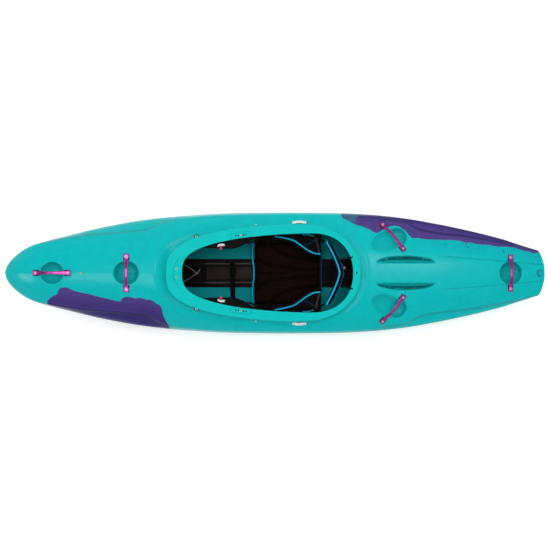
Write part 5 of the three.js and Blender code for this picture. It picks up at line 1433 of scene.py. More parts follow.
def puff(obj, cap):
    """Cushions a closed mesh: remesh, a short pressurised cloth run, capped movement, one subdivision."""
    bpy.context.view_layer.objects.active = obj
    remesh = obj.modifiers.new("remesh", "REMESH")
    remesh.mode = "VOXEL"
    remesh.voxel_size = VOXEL
    remesh.use_smooth_shade = True
    apply_modifiers(obj)
    count = len(obj.data.vertices)
    start = np.empty(count * 3)
    obj.data.vertices.foreach_get("co", start)
    start = start.reshape(-1, 3)
    cloth = obj.modifiers.new("cloth", "CLOTH")
    cloth.settings.use_pressure = True
    cloth.settings.uniform_pressure_force = PRESSURE
    cloth.settings.mass = 0.3
    cloth.settings.tension_stiffness = STIFFNESS
    cloth.settings.compression_stiffness = STIFFNESS
    cloth.settings.bending_stiffness = 0.6
    cloth.settings.effector_weights.gravity = 0
    cloth.point_cache.frame_start = 1
    cloth.point_cache.frame_end = CLOTH_FRAMES
    for step in range(1, CLOTH_FRAMES + 1):
        bpy.context.scene.frame_set(step)
    evaluated = obj.evaluated_get(bpy.context.evaluated_depsgraph_get())
    moved = np.empty(count * 3)
    evaluated.data.vertices.foreach_get("co", moved)
    moved = moved.reshape(-1, 3) - start
    obj.modifiers.remove(cloth)
    bpy.context.scene.frame_set(1)
    size = np.linalg.norm(moved, axis=1)[:, None]
    moved *= np.minimum(1, cap / np.maximum(size, 1e-9))
    obj.data.vertices.foreach_set("co", (start + moved).ravel())
    obj.data.update()
    fine = obj.modifiers.new("fine", "SUBSURF")
    fine.levels = 1
    apply_modifiers(obj)
    return obj


def apply_modifiers(obj):
    """Puts the result of an object's modifiers into its mesh."""
    deps = bpy.context.evaluated_depsgraph_get()
    deps.update()
    mesh = bpy.data.meshes.new_from_object(obj.evaluated_get(deps))
    old = obj.data
    obj.modifiers.clear()
    obj.data = mesh
    mesh.polygons.foreach_set("use_smooth", [True] * len(mesh.polygons))
    bpy.data.meshes.remove(old)


def shape_points(obj, change):
    """Moves an object's points, in mm, by a function of arrays."""
    count = len(obj.data.vertices)
    co = np.empty(count * 3)
    no = np.empty(count * 3)
    obj.data.vertices.foreach_get("co", co)
    obj.data.vertices.foreach_get("normal", no)
    co = change(co.reshape(-1, 3) / MM, no.reshape(-1, 3))
    obj.data.vertices.foreach_set("co", (co * MM).ravel())
    obj.data.update()


def line_distance(plan, line):
    best = np.full(len(plan), 1e9)
    for p, q in zip(line[:-1], line[1:]):
        d = q - p
        t = np.clip(((plan - p) @ d) / (d @ d), 0, 1)
        gap = plan - (p + t[:, None] * d)
        best = np.minimum(best, np.einsum("ij,ij->i", gap, gap))
    return np.sqrt(best)


def seat_cushion():
    rows, cols = 60, 64
    shares = np.linspace(0, 1, rows)
    v = np.sin(np.linspace(-math.pi / 2, math.pi / 2, cols))
    body = []
    for share in shares:
        x, y = pad_place(np.full(cols, share), v, 3.0)
        z = pad_top(np.full(cols, share), v) - 3.5
        upper = np.stack([x, y, z], -1)
        lower = np.stack([x[::-1], y[::-1] * 0.985, np.full(cols, SEAT_LOW + 2.5)], -1)
        body.append(np.concatenate([upper, lower]))
    pad = loft_object("seat_cushion", body, cloth_mat)
    puff(pad, 0.006)
    lines = []
    for table in (OUTER_CHANNEL, INNER_CHANNEL):
        share = np.linspace(0.0, 0.985, 60)
        y = along(table, share) * PAD_HALF
        x = PAD_FRONT + (PAD_REAR - PAD_FRONT) * share
        y = np.minimum(y, pad_half(x) - 9)
        for side in (1, -1):
            lines.append(np.stack([x, y * side], -1))

    painted_darkening = {}

    def carve(p, n):
        top = smooth(0.25, 0.7, n[:, 2])
        z = p[:, 2].copy()
        plan = p[:, :2]
        sewn = np.zeros(len(p))
        for line in lines:
            d = line_distance(plan, line)
            z -= top * (2.4 * np.exp(-((d - 5.2) / 1.7) ** 2) + 0.7 * np.exp(-(d / 4.5) ** 2))
            sewn = np.maximum(sewn, np.exp(-((d - 5.2) / 2.7) ** 2))
        crease = np.array([[-112.0, 0.0], [40.0, 0.0]])
        middle = np.exp(-(line_distance(plan, crease) / 3.0) ** 2)
        z -= top * 3.4 * middle
        # painted shade in the sewn channels and along the middle crease
        painted_darkening["sewn"] = np.maximum(sewn, middle) * top
        ripple = np.sin(plan[:, 0] * 0.19 + plan[:, 1] * 0.05) * np.sin(plan[:, 1] * 0.11 + 1.3)
        z += top * 0.35 * ripple
        low = p[:, 2] < SEAT_LOW + 5
        z = np.where(low, SEAT_LOW + 0.3, z)
        y = np.clip(p[:, 1], -pad_half(p[:, 0]) - 1.5, pad_half(p[:, 0]) + 1.5)
        return np.stack([np.minimum(p[:, 0], PAD_REAR + 2), y, z], -1)

    shape_points(pad, carve)
    store_painted_shade(pad, painted_darkening["sewn"])
    return pad, lines


cushion, channel_lines = seat_cushion()
ready(cushion, "seat", "cloth", "seat_pad")


def surface_tree(obj):
    bm = bmesh.new()
    bm.from_mesh(obj.data)
    tree = BVHTree.FromBMesh(bm)
    bm.free()
    return tree


def drop(tree, x, y, fallback):
    """Height of a surface below a place in plan, looked for from half a metre up."""
    hit = tree.ray_cast(Vector((x * MM, y * MM, 0.5)), Vector((0, 0, -1)))
    return hit[0][2] / MM if hit[0] else fallback


STITCH_PITCH, STITCH_LENGTH, THREAD_RADIUS, THREAD_LIFT = 5.0, 3.4, 0.45, 0.15


def stitches(name, tree, lines):
    """Rows of single thread stitches laid on a surface."""
    verts, faces = [], []
    for line in lines:
        run = run_of(line)
        for at in np.arange(1.0, run[-1] - STITCH_PITCH, STITCH_PITCH):
            ends = [np.array([np.interp(s, run, line[:, k]) for k in (0, 1)])
                    for s in (at, at + STITCH_LENGTH)]
            pts = []
            for e in ends:
                z = drop(tree, e[0], e[1], None)
                if z is None:
                    break
                pts.append(np.array([e[0], e[1], z + THREAD_LIFT]))
            if len(pts) < 2 or abs(pts[0][2] - pts[1][2]) > 3:
                continue
            d = pts[1] - pts[0]
            d /= np.linalg.norm(d)
            side = np.cross(d, (0, 0, 1))
            side /= np.linalg.norm(side)
            up = np.cross(side, d)
            base = len(verts)
            for t, r in ((0, 0.25), (0.15, 1), (0.5, 1.15), (0.85, 1), (1, 0.25)):
                middle = pts[0] + (pts[1] - pts[0]) * t
                for k in range(6):
                    a = math.pi * k / 3
                    verts.append(middle + THREAD_RADIUS * r * (math.cos(a) * side + math.sin(a) * up))
            for row in range(4):
                for k in range(6):
                    a, b = base + row * 6 + k, base + row * 6 + (k + 1) % 6
                    faces.append((a, b, b + 6, a + 6))
            faces += [tuple(base + k for k in range(6))[::-1], tuple(base + 24 + k for k in range(6))]
    obj = new_object(name, verts, faces, thread_mat)
    orient(obj)
    return obj


cushion_tree = surface_tree(cushion)
sewn = []
for line in channel_lines:
    d = np.gradient(line, axis=0)
    n = np.stack([-d[:, 1], d[:, 0]], -1) / np.linalg.norm(d, axis=1)[:, None]
    sewn += [line + n * 5.2, line - n * 5.2]
ready(stitches("seat_stitching", cushion_tree, sewn), "seat", "cloth")

# bright binding along the cushion's front edge, and a dark blue one behind
ys = np.linspace(-168, 168, 60)
front = []
for y in ys:
    x = float(front_edge(y)) - 1.5
    z = drop(cushion_tree, x + 7, y, SEAT_LOW + 18)
    front.append((x, y, z + 0.5))
front = np.array(front)
front[:, 2] = averaged(front[:, 2], 3)
ready(tube("seat_front_binding", front, 4.3, trim_mat, 14, 0.8), "seat", "cloth")
ys = np.linspace(-86, 86, 40)
rear = [(PAD_REAR + 0.5, y, SEAT_LOW + 17.5) for y in ys]
ready(tube("seat_rear_binding", rear, 2.6, deep_trim_mat, 12, 0.9), "seat", "cloth")


# Hip pads, in the wedges between the seat shell's sides and the paddler's hips
HIP_OUTER, HIP_TOP = 199.7, 212.0


hip_pads = {}


def hip_pad(side):
    xs = np.linspace(-20, 211, 34)
    face = np.stack([xs, hip_face(xs)], -1)
    back = np.stack([np.linspace(211, -20, 20), np.full(20, HIP_OUTER)], -1)
    rear = np.stack([np.full(8, 211.0), np.linspace(face[-1, 1], HIP_OUTER, 10)[1:-1]], -1)
    outline = np.concatenate([face, rear, back])
    middle = np.array([95.5, 167.7])
    body = []
    for z, draw, inset in ((46, 0.03, 24), (56, 0.02, 12), (68, 0.015, 2), (120, 0.012, 1), (170, 0.012, 1),
                           (194, 0.02, 1),
                           (203, 0.05, 1.5), (208, 0.1, 2)):
        line = outline + (middle - outline) * draw
        line = line.copy()
        line[:, 1] = np.minimum(line[:, 1], HIP_OUTER - inset)
        body.append(np.stack([line[:, 0], line[:, 1] * side, np.full(len(line), float(z))], -1))
    pad = loft_object(f"hip_pad_{side}", body, side_cloth_mat)
    puff(pad, 0.006)
    # a seam along the middle of its top, and shallow sewn lines down its face
    seam = np.stack([xs, (hip_face(xs) * 0.45 + HIP_OUTER * 0.55) * side], -1)[6:-2]

    def carve(p, n):
        top = smooth(0.3, 0.8, n[:, 2])
        d = line_distance(p[:, :2], seam)
        z = p[:, 2] - top * (2.0 * np.exp(-(d / 2.2) ** 2))
        flank = smooth(0.3, 0.8, -n[:, 1] * side)
        band = np.minimum(np.abs((p[:, 0] + 10) % 52 - 26), 26)
        y = p[:, 1] + side * flank * 1.6 * np.exp(-(band / 2.4) ** 2)
        y = np.where(side > 0, np.minimum(y, HIP_OUTER), np.maximum(y, -HIP_OUTER))
        return np.stack([np.clip(p[:, 0], -24, 214), y, np.clip(z, 42.6, 216)], -1)

    shape_points(pad, carve)
    return pad


for hand, side in HANDS:
    pad = hip_pad(side)
    hip_pads[side] = pad
    pad.name = f"hip_cushion_{hand}"
    ready(pad, "seat", "cloth", f"hip_pad_{hand}")
    tree = surface_tree(pad)
    xs = np.linspace(-17, 209, 60)
    line = []
    for x in xs:
        y = (float(hip_face(x)) + 2.4) * side
        line.append((x, y, drop(tree, x, y + side * 4, HIP_TOP - 6) + 0.6))
    line = np.array(line)
    line[:, 2] = np.maximum(line[:, 2], averaged(line[:, 2], 4)) + 0.8
    ready(tube(f"hip_binding_{hand}", line, 4.0, trim_mat, 14, 0.85), "seat", "cloth")
    seam = [np.array([(x, (float(hip_face(x)) + 10) * side) for x in np.linspace(-8, 200, 40)])]
    ready(stitches(f"hip_stitching_{hand}", tree, seam), "seat", "cloth")


# corded edges at the top of each hip pad
for hand, side in HANDS:
    tree = surface_tree(hip_pads[side])
    for name, spots, radius, mat in (("outer", [(122, 194), (140, 195.5), (160, 193), (178, 187)], 2.3,
                                      trim_mat),
                                     ("inner", [(128, 143), (148, 146), (164, 154), (176, 167)], 1.3,
                                      deep_trim_mat)):
        line = smooth_line([(x, y * side, drop(tree, x, y * side, 211.0) + radius * 0.4) for x, y in spots],
                           40)
        ready(tube(f"hip_edge_{name}_{hand}", line, radius, mat, 10, 0.9), "seat", "cloth")
    spots = zip(np.linspace(203, 187, 24), np.linspace(104, 178, 24))
    tape = [(x, y * side, drop(tree, x, y * side, 211.0) + 0.9) for x, y in spots]
    ready(strip(f"hip_tape_{hand}", smooth_line(tape, 60), 13, 1.2, tape_mat, across=(1, 0, 0)), "seat",
          "cloth")


# The backrest: a padded band with a bright binding, laced at the back
def band_front(y):
    return 299 + (233 - 299) * (np.abs(np.asarray(y, float)) / 162) ** 1.35


def band_low(y):
    return 150 + 30 * (np.asarray(y, float) / 162) ** 2


def band_high(y):
    return 288 - 26 * (np.asarray(y, float) / 162) ** 2


def backrest():
    body = []
    for y in np.linspace(-158.5, 158.5, 84):
        end = math.sqrt(max(0.0, 1 - max(0, abs(y) - 150) ** 2 / 9.2 ** 2))
        x, low, high = float(band_front(y)), float(band_low(y)), float(band_high(y))
        middle, half = (low + high) / 2, (high - low) / 2 - 3
        half = half * (0.9 + 0.1 * end)
        turn = np.linspace(0, 2 * math.pi, 44, endpoint=False)
        c, s = np.cos(turn), np.sin(turn)
        px = x + 11 + np.sign(c) * np.abs(c) ** 0.8 * 8.2 * (0.45 + 0.55 * end)
        pz = middle + np.sign(s) * np.abs(s) ** 0.36 * half
        body.append(np.stack([px, np.full(44, y), pz], -1))
    band = loft_object("backrest_pad", body, side_cloth_mat)
    puff(band, 0.005)

    def carve(p, n):
        y = np.clip(p[:, 1], -162.5, 162.5)
        x0 = band_front(y)
        share = (p[:, 2] - band_low(y)) / (band_high(y) - band_low(y))
        front = smooth(0.25, 0.8, -n[:, 0])
        rear = smooth(0.25, 0.8, n[:, 0])
        x = p[:, 0]
        for level in (0.3, 0.7):
            x = x + front * 1.8 * np.exp(-((share - level) / 0.022) ** 2)
        for place_y in (-96, -48, 0, 48, 96):
            groove = front * 1.8 * np.exp(-((y - place_y) / 2.4) ** 2)
            x = x + groove * smooth(0.3, 0.33, share) * (1 - smooth(0.67, 0.7, share))
        x = x - rear * 1.2 * np.exp(-((share - 0.86) / 0.02) ** 2)
        x = np.clip(x, x0 - 6, x0 + 22)
        return np.stack([x, y, np.clip(p[:, 2], band_low(y) - 1, band_high(y) + 1)], -1)

    shape_points(band, carve)
    return band


band = backrest()
ready(band, "backrest", "cloth", "backrest_band")
band_tree = surface_tree(band)
ys = np.linspace(-157, 157, 90)
line = []
for y in ys:
    x = float(band_front(y)) + 3.6
    line.append((x, y, drop(band_tree, x + 3, y, float(band_high(y)) - 4) - 0.5))
line = np.array(line)
line[:, 2] = averaged(line[:, 2], 4)
ready(tube("backrest_binding", line, 4.1, trim_mat, 14, 0.9), "backrest", "cloth")
line = [(float(band_front(y)) + 4.5, y, float(band_low(y)) + 1.5) for y in ys]
ready(tube("backrest_low_binding", line, 2.6, deep_trim_mat, 12, 0.9), "backrest", "cloth")
# a tape along the back carries the lacing's loops
tape = [(float(band_front(y)) + 20.6, y, float(band_high(y)) - 20) for y in np.linspace(-140, 140, 60)]
ready(strip("backrest_tape", tape, 16, 1.6, webbing_mat, across=(0, 0, 1)), "backrest", "webbing")


LACE_RADIUS, LACE_HALF = 1.75, 128


def lace_middle(y):
    """Height of the line that the lacing crosses to and fro."""
    return 268 - (y / 162) ** 2 * 26


def lacing_spot(y):
    share = (y + LACE_HALF) / (2 * LACE_HALF)
    z = lace_middle(y) + 10 * math.sin(share * 10 * math.pi)
    return float(band_front(y)) + 22 + LACE_RADIUS + 0.6, y, z


lace = smooth_line([lacing_spot(y) for y in np.linspace(-LACE_HALF, LACE_HALF, 81)], 240)
ready(tube("backrest_lace", lace, LACE_RADIUS, blue_cord_mat, 10), "backrest", "blue_cord", "backrest_cord")
loops = []
for k in range(10):
    y = -LACE_HALF + 2 * LACE_HALF * (k + 0.5) / 10
    x, _, z = lacing_spot(y)
    way = 1 if z > lace_middle(y) else -1
    arc = [(x - 3.0 + 4.6 * math.sin(a) * 0.9, y, z - way * 1.2 + way * 3.2 * math.cos(a))
           for a in np.linspace(-0.5, math.pi + 0.5, 14)]
    loops.append(tube(f"loop_{k}", arc, 1.0, webbing_mat, 8))
ready(join("backrest_loops", loops), "backrest", "webbing")

lock_y = 24.0
lock_x, _, lock_z = lacing_spot(lock_y)
at = (np.array([lock_x + LACE_RADIUS + GAP + 6, lock_y, lock_z]), X_AXIS, Z_AXIS, Y_AXIS)
barrel = revolve("barrel", [(0, -6), (4.6, -6), (5.4, -5.4), (6, -4), (6, 1.6), (5.6, 2), (5.6, 2.4),
                            (6, 2.8), (6, 4.2), (5.2, 5.6), (4.4, 6), (0, 6)],
                 at, grey_mat, 30)
button = revolve("button", [(0, 5.4), (3.4, 5.4), (3.4, 6.8), (2.9, 7.4), (0, 7.6)], at, white_mat, 24)
ready(join("lace_lock", [barrel, button]), "backrest", "white_plastic", "cord_lock")


# Straps, braces, ratchets and the rest of the outfitting
FLANGE = 6.0


def mirror(points, side):
    pts = np.array(points, float)
    pts[..., 1] *= side
    return pts


def cockpit_edge(x):
    return float(cockpit_half(x))


def brace_top(x):
    return float(rim_height(x)) - FLANGE - 0.5


REACH_T = [(0, 0.05), (0.16, 0.42), (0.354, 0.74), (0.585, 1), (0.76, 0.8), (0.89, 0.39), (1, 0.2)]
HOLD_T = [(0, 0.36), (0.3, 0.6), (0.6, 1), (1, 0.82)]
DROP_T = [(0, 0.33), (0.3, 0.8), (0.6, 1), (0.85, 0.7), (1, 0.33)]


BRACE_FRONT, BRACE_LENGTH = -371.0, 258.0
BRACE_REACH, BRACE_DROP = 43.5, 17.5


def brace_x(share):
    return BRACE_FRONT + BRACE_LENGTH * share


def thigh_brace(side):
    body = []
    shares = np.linspace(0, 1, 61)
    reach = averaged(along(REACH_T, shares), 3)
    fall = averaged(along(DROP_T, shares), 3)
    for share, r, d in zip(shares, reach, fall):
        x = brace_x(share)
        top = brace_top(x)
        outer = cockpit_edge(x) + 22 * float(along(HOLD_T, share))
        inner = cockpit_edge(x) - BRACE_REACH * r
        low = top - BRACE_DROP * d
        line = [(outer, top), ((outer + inner) / 2 + 6, top)]
        for k in range(7):
            t = math.pi / 2 * k / 6
            line.append((inner + 8 - 8 * math.sin(t), top - (top - low) * (1 - math.cos(t)) * 0.9))
        for k in range(6):
            t = math.pi * k / 5
            line.append((inner + 2.4 - 2.4 * math.cos(t), low - 2.4 * math.sin(t)))
        line += [(inner + 9, top - 5), ((outer + inner) / 2 + 6, top - 5), (outer, top - 5)]
        body.append(mirror([(x, y, z) for y, z in line], side))
    plate = loft_object("brace", body, black_mat)
    o, run, across, up = rim_frame(*brace_row(side))
    box = [[o + run * a + across * b + up * c for b, c in ((-4, -30), (4, -30), (4, 20), (-4, 20))]
           for a in (-29.4, 29.4)]
    cut_away(plate, box)
    harden(plate, 40)
    return plate


for hand, side in HANDS:
    plate = thigh_brace(side)
    plate.name = f"brace_plate_{hand}"
    ready(plate, f"brace_{hand}", "black_plastic", f"thigh_brace_{hand}")
    # moulded ribs on the reach, and a thin foam lining turned over the lip
    ribs = []
    for share in (0.3, 0.42, 0.62, 0.74):
        x = brace_x(share)
        r = BRACE_REACH * float(along(REACH_T, share))
        pts = mirror([(x, cockpit_edge(x) - v, brace_top(x) + 0.2) for v in np.linspace(4, r - 10, 10)],
                     side)
        ribs.append(tube(f"rib_{share}", pts, 1.3, black_mat, 8, 0.5))
    ready(join(f"brace_ribs_{hand}", ribs), f"brace_{hand}", "black_plastic")
    pts = []
    for share in np.linspace(0.2, 0.9, 40):
        x = brace_x(share)
        lip_y = cockpit_edge(x) - BRACE_REACH * float(along(REACH_T, share)) + 4.4
        pts.append((x, lip_y, brace_top(x) - BRACE_DROP * float(along(DROP_T, share)) * 0.45))
    pts = smooth_line(mirror(pts[::3], side), 60)
    ready(tube(f"brace_lip_{hand}", pts, 3.2, foam_mat, 12, 0.9), f"brace_{hand}", "foam")

    # the ratchet: a folded channel with two pins, a pawl and a cover, and its thumb tab
    frame_r = rim_frame(-280, side * 135, side * 0.14)
    o, run, across, up = frame_r
    across = across * side
    o = o + up * (GAP - FLANGE - 0.5)

    def local(points):
        return np.array([o + run * a + across * b + up * c for a, b, c in points])

    parts = []
    floor_plate = [local([(x, b, c) for b, c in ((-7.5, 0), (7.5, 0), (7.5, 1.5), (-7.5, 1.5))])
                   for x in (-20, -19.4, 19.4, 20)]
    parts.append(loft_object("floor_plate", floor_plate, steel_mat))
    for wall in (-1, 1):
        outline = [(-20, 1.2), (20, 1.2), (20, 4.5), (16, 7.2), (9, 8), (-10, 8), (-15, 7.6), (-18, 5.5),
                   (-20, 4)]
        body = [local([(a, wall * b, c) for a, c in outline]) for b in (5.6, 5.9, 7.2, 7.5)]
        shrink = [0.96, 1, 1, 0.96]
        body = [pts.mean(axis=0) + (pts - pts.mean(axis=0)) * k for pts, k in zip(body, shrink)]
        parts.append(loft_object(f"wall_{wall}", body, grey_mat))
    for a, c, r in ((-12, 5.6, 1.1), (11, 5.4, 1.3)):
        ends = local([(a, b, c) for b in np.linspace(-5.7, 5.7, 6)])
        parts.append(tube(f"pin_{a}", ends, r, steel_mat, 12, up=tuple(up)))
    pawl = [local([(a, b, c) for a, c in ((3, 4.2), (12.5, 3.6), (13, 6.8), (8, 7.7), (3.5, 6.4))])
            for b in (-5.2, -4.8, 4.8, 5.2)]
    parts.append(loft_object("pawl", pawl, grey_mat))
    cover = []
    for a in np.linspace(-21, 17, 17):
        end = (a + 2) / 19
        w = 5.4 * math.sqrt(max(0.03, 1 - end ** 2))
        mid, top = 2.6 - 4.5 * end ** 2, 9.6 - 1.3 * end ** 2
        cover.append(local([(a, mid - w, top - 1.5), (a, mid + w, top - 1.5), (a, mid + w, top - 0.5),
                            (a, mid + w * 0.7, top),
                            (a, mid, top + 0.3), (a, mid - w * 0.7, top), (a, mid - w, top - 0.5)]))
    parts.append(loft_object("cover", cover, white_mat))
    channel = join(f"ratchet_body_{hand}", parts)
    ready(channel, f"brace_{hand}", "steel", f"ratchet_{hand}")

    barrel_y, barrel_z = -9.8, 6.0
    parts = [tube("barrel", local([(x, barrel_y, barrel_z) for x in np.linspace(-10.4, 2.4, 8)]), 2.0,
                  pink_mat, 14, up=tuple(up), ends=False)]
    tab = []
    for t in np.linspace(0, 1, 12):
        y = barrel_y - 1 - 9.8 * t
        w = 4.6 * (1 - 0.25 * t ** 3) * math.sqrt(max(0.05, 1 - max(0, t - 0.8) ** 2 / 0.044))
        h = 1.15
        ridge = 0.35 * math.sin(t * 12 * math.pi) if 0.35 < t < 0.95 else 0
        tab.append(local([(-4 - w, y, barrel_z - h), (-4 + w, y, barrel_z - h),
                          (-4 + w, y, barrel_z + h * 0.7),
                          (-4 + w * 0.9, y, barrel_z + h + ridge * 0.3), (-4, y, barrel_z + h + ridge),
                          (-4 - w * 0.9, y, barrel_z + h + ridge * 0.3), (-4 - w, y, barrel_z + h * 0.7)]))
    parts.append(loft_object("tab", tab, pink_mat))
    ready(join(f"release_tab_{hand}", parts), f"lever_{hand}", "pink_plastic", f"release_{hand}")

    # the ladder strap through the ratchet, over the hip pad, to the band's end
    height = 1.5 + GAP + 1

    def in_channel(a):
        p = o + run * a + up * height
        return (p[0], p[1] * side, p[2])

    inside = cockpit_edge(-112) - 22 - 8
    route = [in_channel(-48), in_channel(48),
             (-186, cockpit_edge(-186) - 22, brace_top(-186) + 0.3 + height),
             (-137, inside, brace_top(-137) + 0.3 + height), (227.7, 157, 221.0)]
    route[4:4] = [(x, cockpit_edge(x) + 8, float(rim_height(x)) - FLANGE - 22) for x in (-68, 60.5, 152)]
    route = smooth_line(mirror(route, side), 260)
    ready(strip(f"ladder_{hand}", route, 10, 1.7, black_mat, across=(0, side, 0), teeth=(3.2, 0.9)),
          "boat", "black_plastic", f"ladder_strap_{hand}")

    x0 = float(band_front(54)) + 22.8
    start = np.array([x0, 58 * side, 250.0])
    end = np.array([363, 80 * side, float(rim_height(363)) - FLANGE - 1.3])
    line = smooth_line([start, (start + end) / 2, end], 60)
    ready(strip(f"rear_band_{hand}", line, 8, 1.8, webbing_mat, across=(0, side, 0),
                wave=lambda s, w: 0.12 * np.sin(w * 2.6)), "boat", "webbing", f"rear_elastic_{hand}")
    xs = np.linspace(320, 367, 200)
    lip = float(xs[np.argmin(np.abs([float(cockpit_half(x)) - 82 for x in xs]))])
    top = float(rim_height(lip))
    hook = smooth_line([(lip - 25, 68 * side, top - 26), (lip - 17, 72 * side, top - 12),
                        (lip - 12, 75 * side, top + 0.4),
                        (lip - 7, 77.5 * side, top + 1.1), (lip - 1, 81 * side, top + 0.2)], 50)
    ready(strip(f"rear_hook_{hand}", hook, 7, 1.5, webbing_mat, across=(0, side, 0)), "boat", "webbing")
    pin = hex_bolt(f"rear_band_pin_{hand}", (start + np.array([4.0, 0, 0]), Y_AXIS, Z_AXIS, X_AXIS), 0.9, 4,
                   2)
    ready(pin, "boat", "steel")

# The gear strap and its ladder-lock buckle
STRAP_X = -243.0
route = ((57.6, 59.4), (20, 59.4), (-30, 59.4), (-60, 57.4), (-80, 36), (-106, 8.2), (-132, 7.8))
line = smooth_line([(STRAP_X, y, z) for y, z in route], 130)
webbing = strip("gear_webbing", line, 25, 1.8, webbing_mat, across=(1, 0, 0),
                wave=lambda s, w: 0.14 * np.sin(w * 2.2))
ready(webbing, "boat", "webbing", "gear_strap")


def ladder_lock():
    """A strap slider: a rounded frame, two slots and a raised lip, with three turns of webbing."""
    low_y, high_y = -5, 26
    arcs = corner_arcs(16, (high_y - low_y) / 2, 4, 18, 6)
    line = np.array([(STRAP_X + u, (low_y + high_y) / 2 + v) for arc in arcs for u, v in arc])
    middle = line.mean(axis=0)
    body = []
    for z, k in ((60.7, 0.96), (61.3, 1), (64, 1), (64.9, 0.95)):
        ring = middle + (line - middle) * k
        body.append(np.column_stack([ring, np.full(len(ring), z)]))
    frame_piece = loft_object("lock_frame", body, black_mat)
    for low, high in ((1.8, 8.6), (12.4, 19.2)):
        left, right = STRAP_X - 11, STRAP_X + 11
        box = [[(left, low, z), (right, low, z), (right, high, z), (left, high, z)] for z in (58, 68)]
        cut_away(frame_piece, box)
    harden(frame_piece, 40)
    lip = tube("lip", [(x, 23.5, 65.2) for x in np.linspace(left, right, 12)], 1.9, black_mat, 12)
    turns = [tube(f"turn_{k}", [(x, y, 63.2 - k * 0.2) for x in np.linspace(-253.4, -232.6, 10)], 2.1,
                  webbing_mat, 12, 0.6)
             for k, y in enumerate((5.2, 10.5, 15.8))]
    return join("ladder_lock", [frame_piece, lip] + turns)


def corners_of(node):
    """A node's lowest and highest corners, in mm."""
    low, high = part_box(node)
    return np.array(low) / MM, np.array(high) / MM


lock_bottom = corners_of("gear_buckle")[0][2]
lock = ladder_lock()
shape_points(lock, lambda p, n: p + np.array([0, 0, lock_bottom - 60.7 + 0.05]))
ready(lock, "boat", "black_plastic", "gear_buckle")

# The tray cord: two legs in a vee, an overhand knot and a tail
CORD_Z = 39.3
parts = []
for side in (1, -1):
    leg = smooth_line([(-502, 45 * side, CORD_Z), (-466, 25 * side, CORD_Z),
                       (-436, 3 * side, CORD_Z + 0.2)], 60)
    parts.append(tube(f"leg_{side}", leg, 1.9, grey_cord_mat, 10))
    parts.append(tube(f"hook_{side}",
                      smooth_line([(-502, 45 * side, CORD_Z), (-504.5, 48 * side, CORD_Z - 0.6),
                                   (-504, 50 * side, 35.0)], 16), 1.9, grey_cord_mat, 10))
turn = np.linspace(0, 2 * math.pi, 70)
knot = np.stack([-431 + 4.4 * np.cos(turn) + 1.4 * np.cos(2 * turn),
                 3.6 * np.sin(turn) - 1.2 * np.sin(2 * turn),
                 CORD_Z + 0.6 + 1.1 * np.cos(3 * turn)], -1)
parts.append(tube("knot", knot, 1.8, grey_cord_mat, 10))
tail = smooth_line([(-429, 2, CORD_Z), (-423, 8, CORD_Z), (-415.5, 21, CORD_Z)], 30)
parts.append(tube("tail", tail, 1.9, grey_cord_mat, 10))
ready(join("tray_shock_cord", parts), "boat", "grey_cord", "tray_cord")

# A panel between the spine's rails, with its screws and the eyes that hold the cord
panel = []
for x in (-380, -379, 198, 199):
    inset = 1 if x in (-380, 199) else 0
    w = 33.5 - inset
    panel.append([(x, -w, 26.35), (x, w, 26.35), (x, w, 27.7 - inset * 0.4), (x, w - 1, 28.2 - inset * 0.4),
                  (x, -w + 1, 28.2 - inset * 0.4), (x, -w, 27.7 - inset * 0.4)])
ready(loft_object("track_panel", panel, panel_mat), "boat", "black_plastic")
spine_tree = surface_tree(bpy.data.objects[frame["nodes"]["floor_spine"].name])
# lighter strips along the rails' tops: painted highlights
for hand, side in HANDS:
    caps = []
    for x in np.linspace(-396, 205, 60):
        z = drop(spine_tree, x, side * 50, 37.0)
        w = 4.4 * math.sqrt(min(1, (min(x + 396, 205 - x) + 1.5) / 8))
        caps.append([(x, side * 50 + u, z + v) for u, v in ((-w, 0.05), (w, 0.05), (w, 0.5), (w - 0.8, 1.0),
                                                            (0, 1.15), (-w + 0.8, 1.0), (-w, 0.5))])
    ready(loft_object(f"rail_wear_strip_{hand}", caps, rail_highlight_mat), "boat", "black_plastic")
for k, x in enumerate((-366, -190, 10, 186)):
    for y in (-27, 27):
        at = (np.array([x, y, 28.2]), X_AXIS, Y_AXIS, Z_AXIS)
        ready(hex_bolt(f"track_screw_{k}_{y}".replace("-", "m"), at, 0.02, 3.4, 1.8, black_mat), "boat",
              "black_plastic")
EYE_BASE = 37.05
for hand, side in HANDS:
    at = (np.array([-504, 50 * side, EYE_BASE]), X_AXIS, Y_AXIS, Z_AXIS)
    eye = [(2.3, 0), (4.6, 0), (4.6, 0.6), (3.6, 1.2), (2.6, 1.1), (2.3, 0.6)]
    ready(revolve(f"cord_eye_{hand}", eye, at, steel_mat, 24, closed=True), "boat", "steel")


def foam_block(node_name, new_name, voxel=5.0, mat=None):
    """A block of foam with eased edges, cut from its CAD solid's shape."""
    source = bpy.data.objects[frame["nodes"][node_name].name]
    mesh = source.data.copy()
    obj = bpy.data.objects.new(new_name, mesh)
    bpy.context.scene.collection.objects.link(obj)
    obj.matrix_world = source.matrix_world.copy()
    mesh.transform(source.matrix_world)
    obj.matrix_world = Matrix()
    mesh.materials.clear()
    mesh.materials.append(mat or foam_mat)
    remesh = obj.modifiers.new("remesh", "REMESH")
    remesh.mode = "VOXEL"
    remesh.voxel_size = voxel * MM
    remesh.use_smooth_shade = True
    eased = obj.modifiers.new("eased", "SMOOTH")
    eased.iterations = 3
    eased.factor = 0.6
    apply_modifiers(obj)
    if not obj.data.materials:
        obj.data.materials.append(mat or foam_mat)
    low, high = corners_of(node_name)
    shape_points(obj, lambda p, n: np.clip(p, low, high))
    return obj


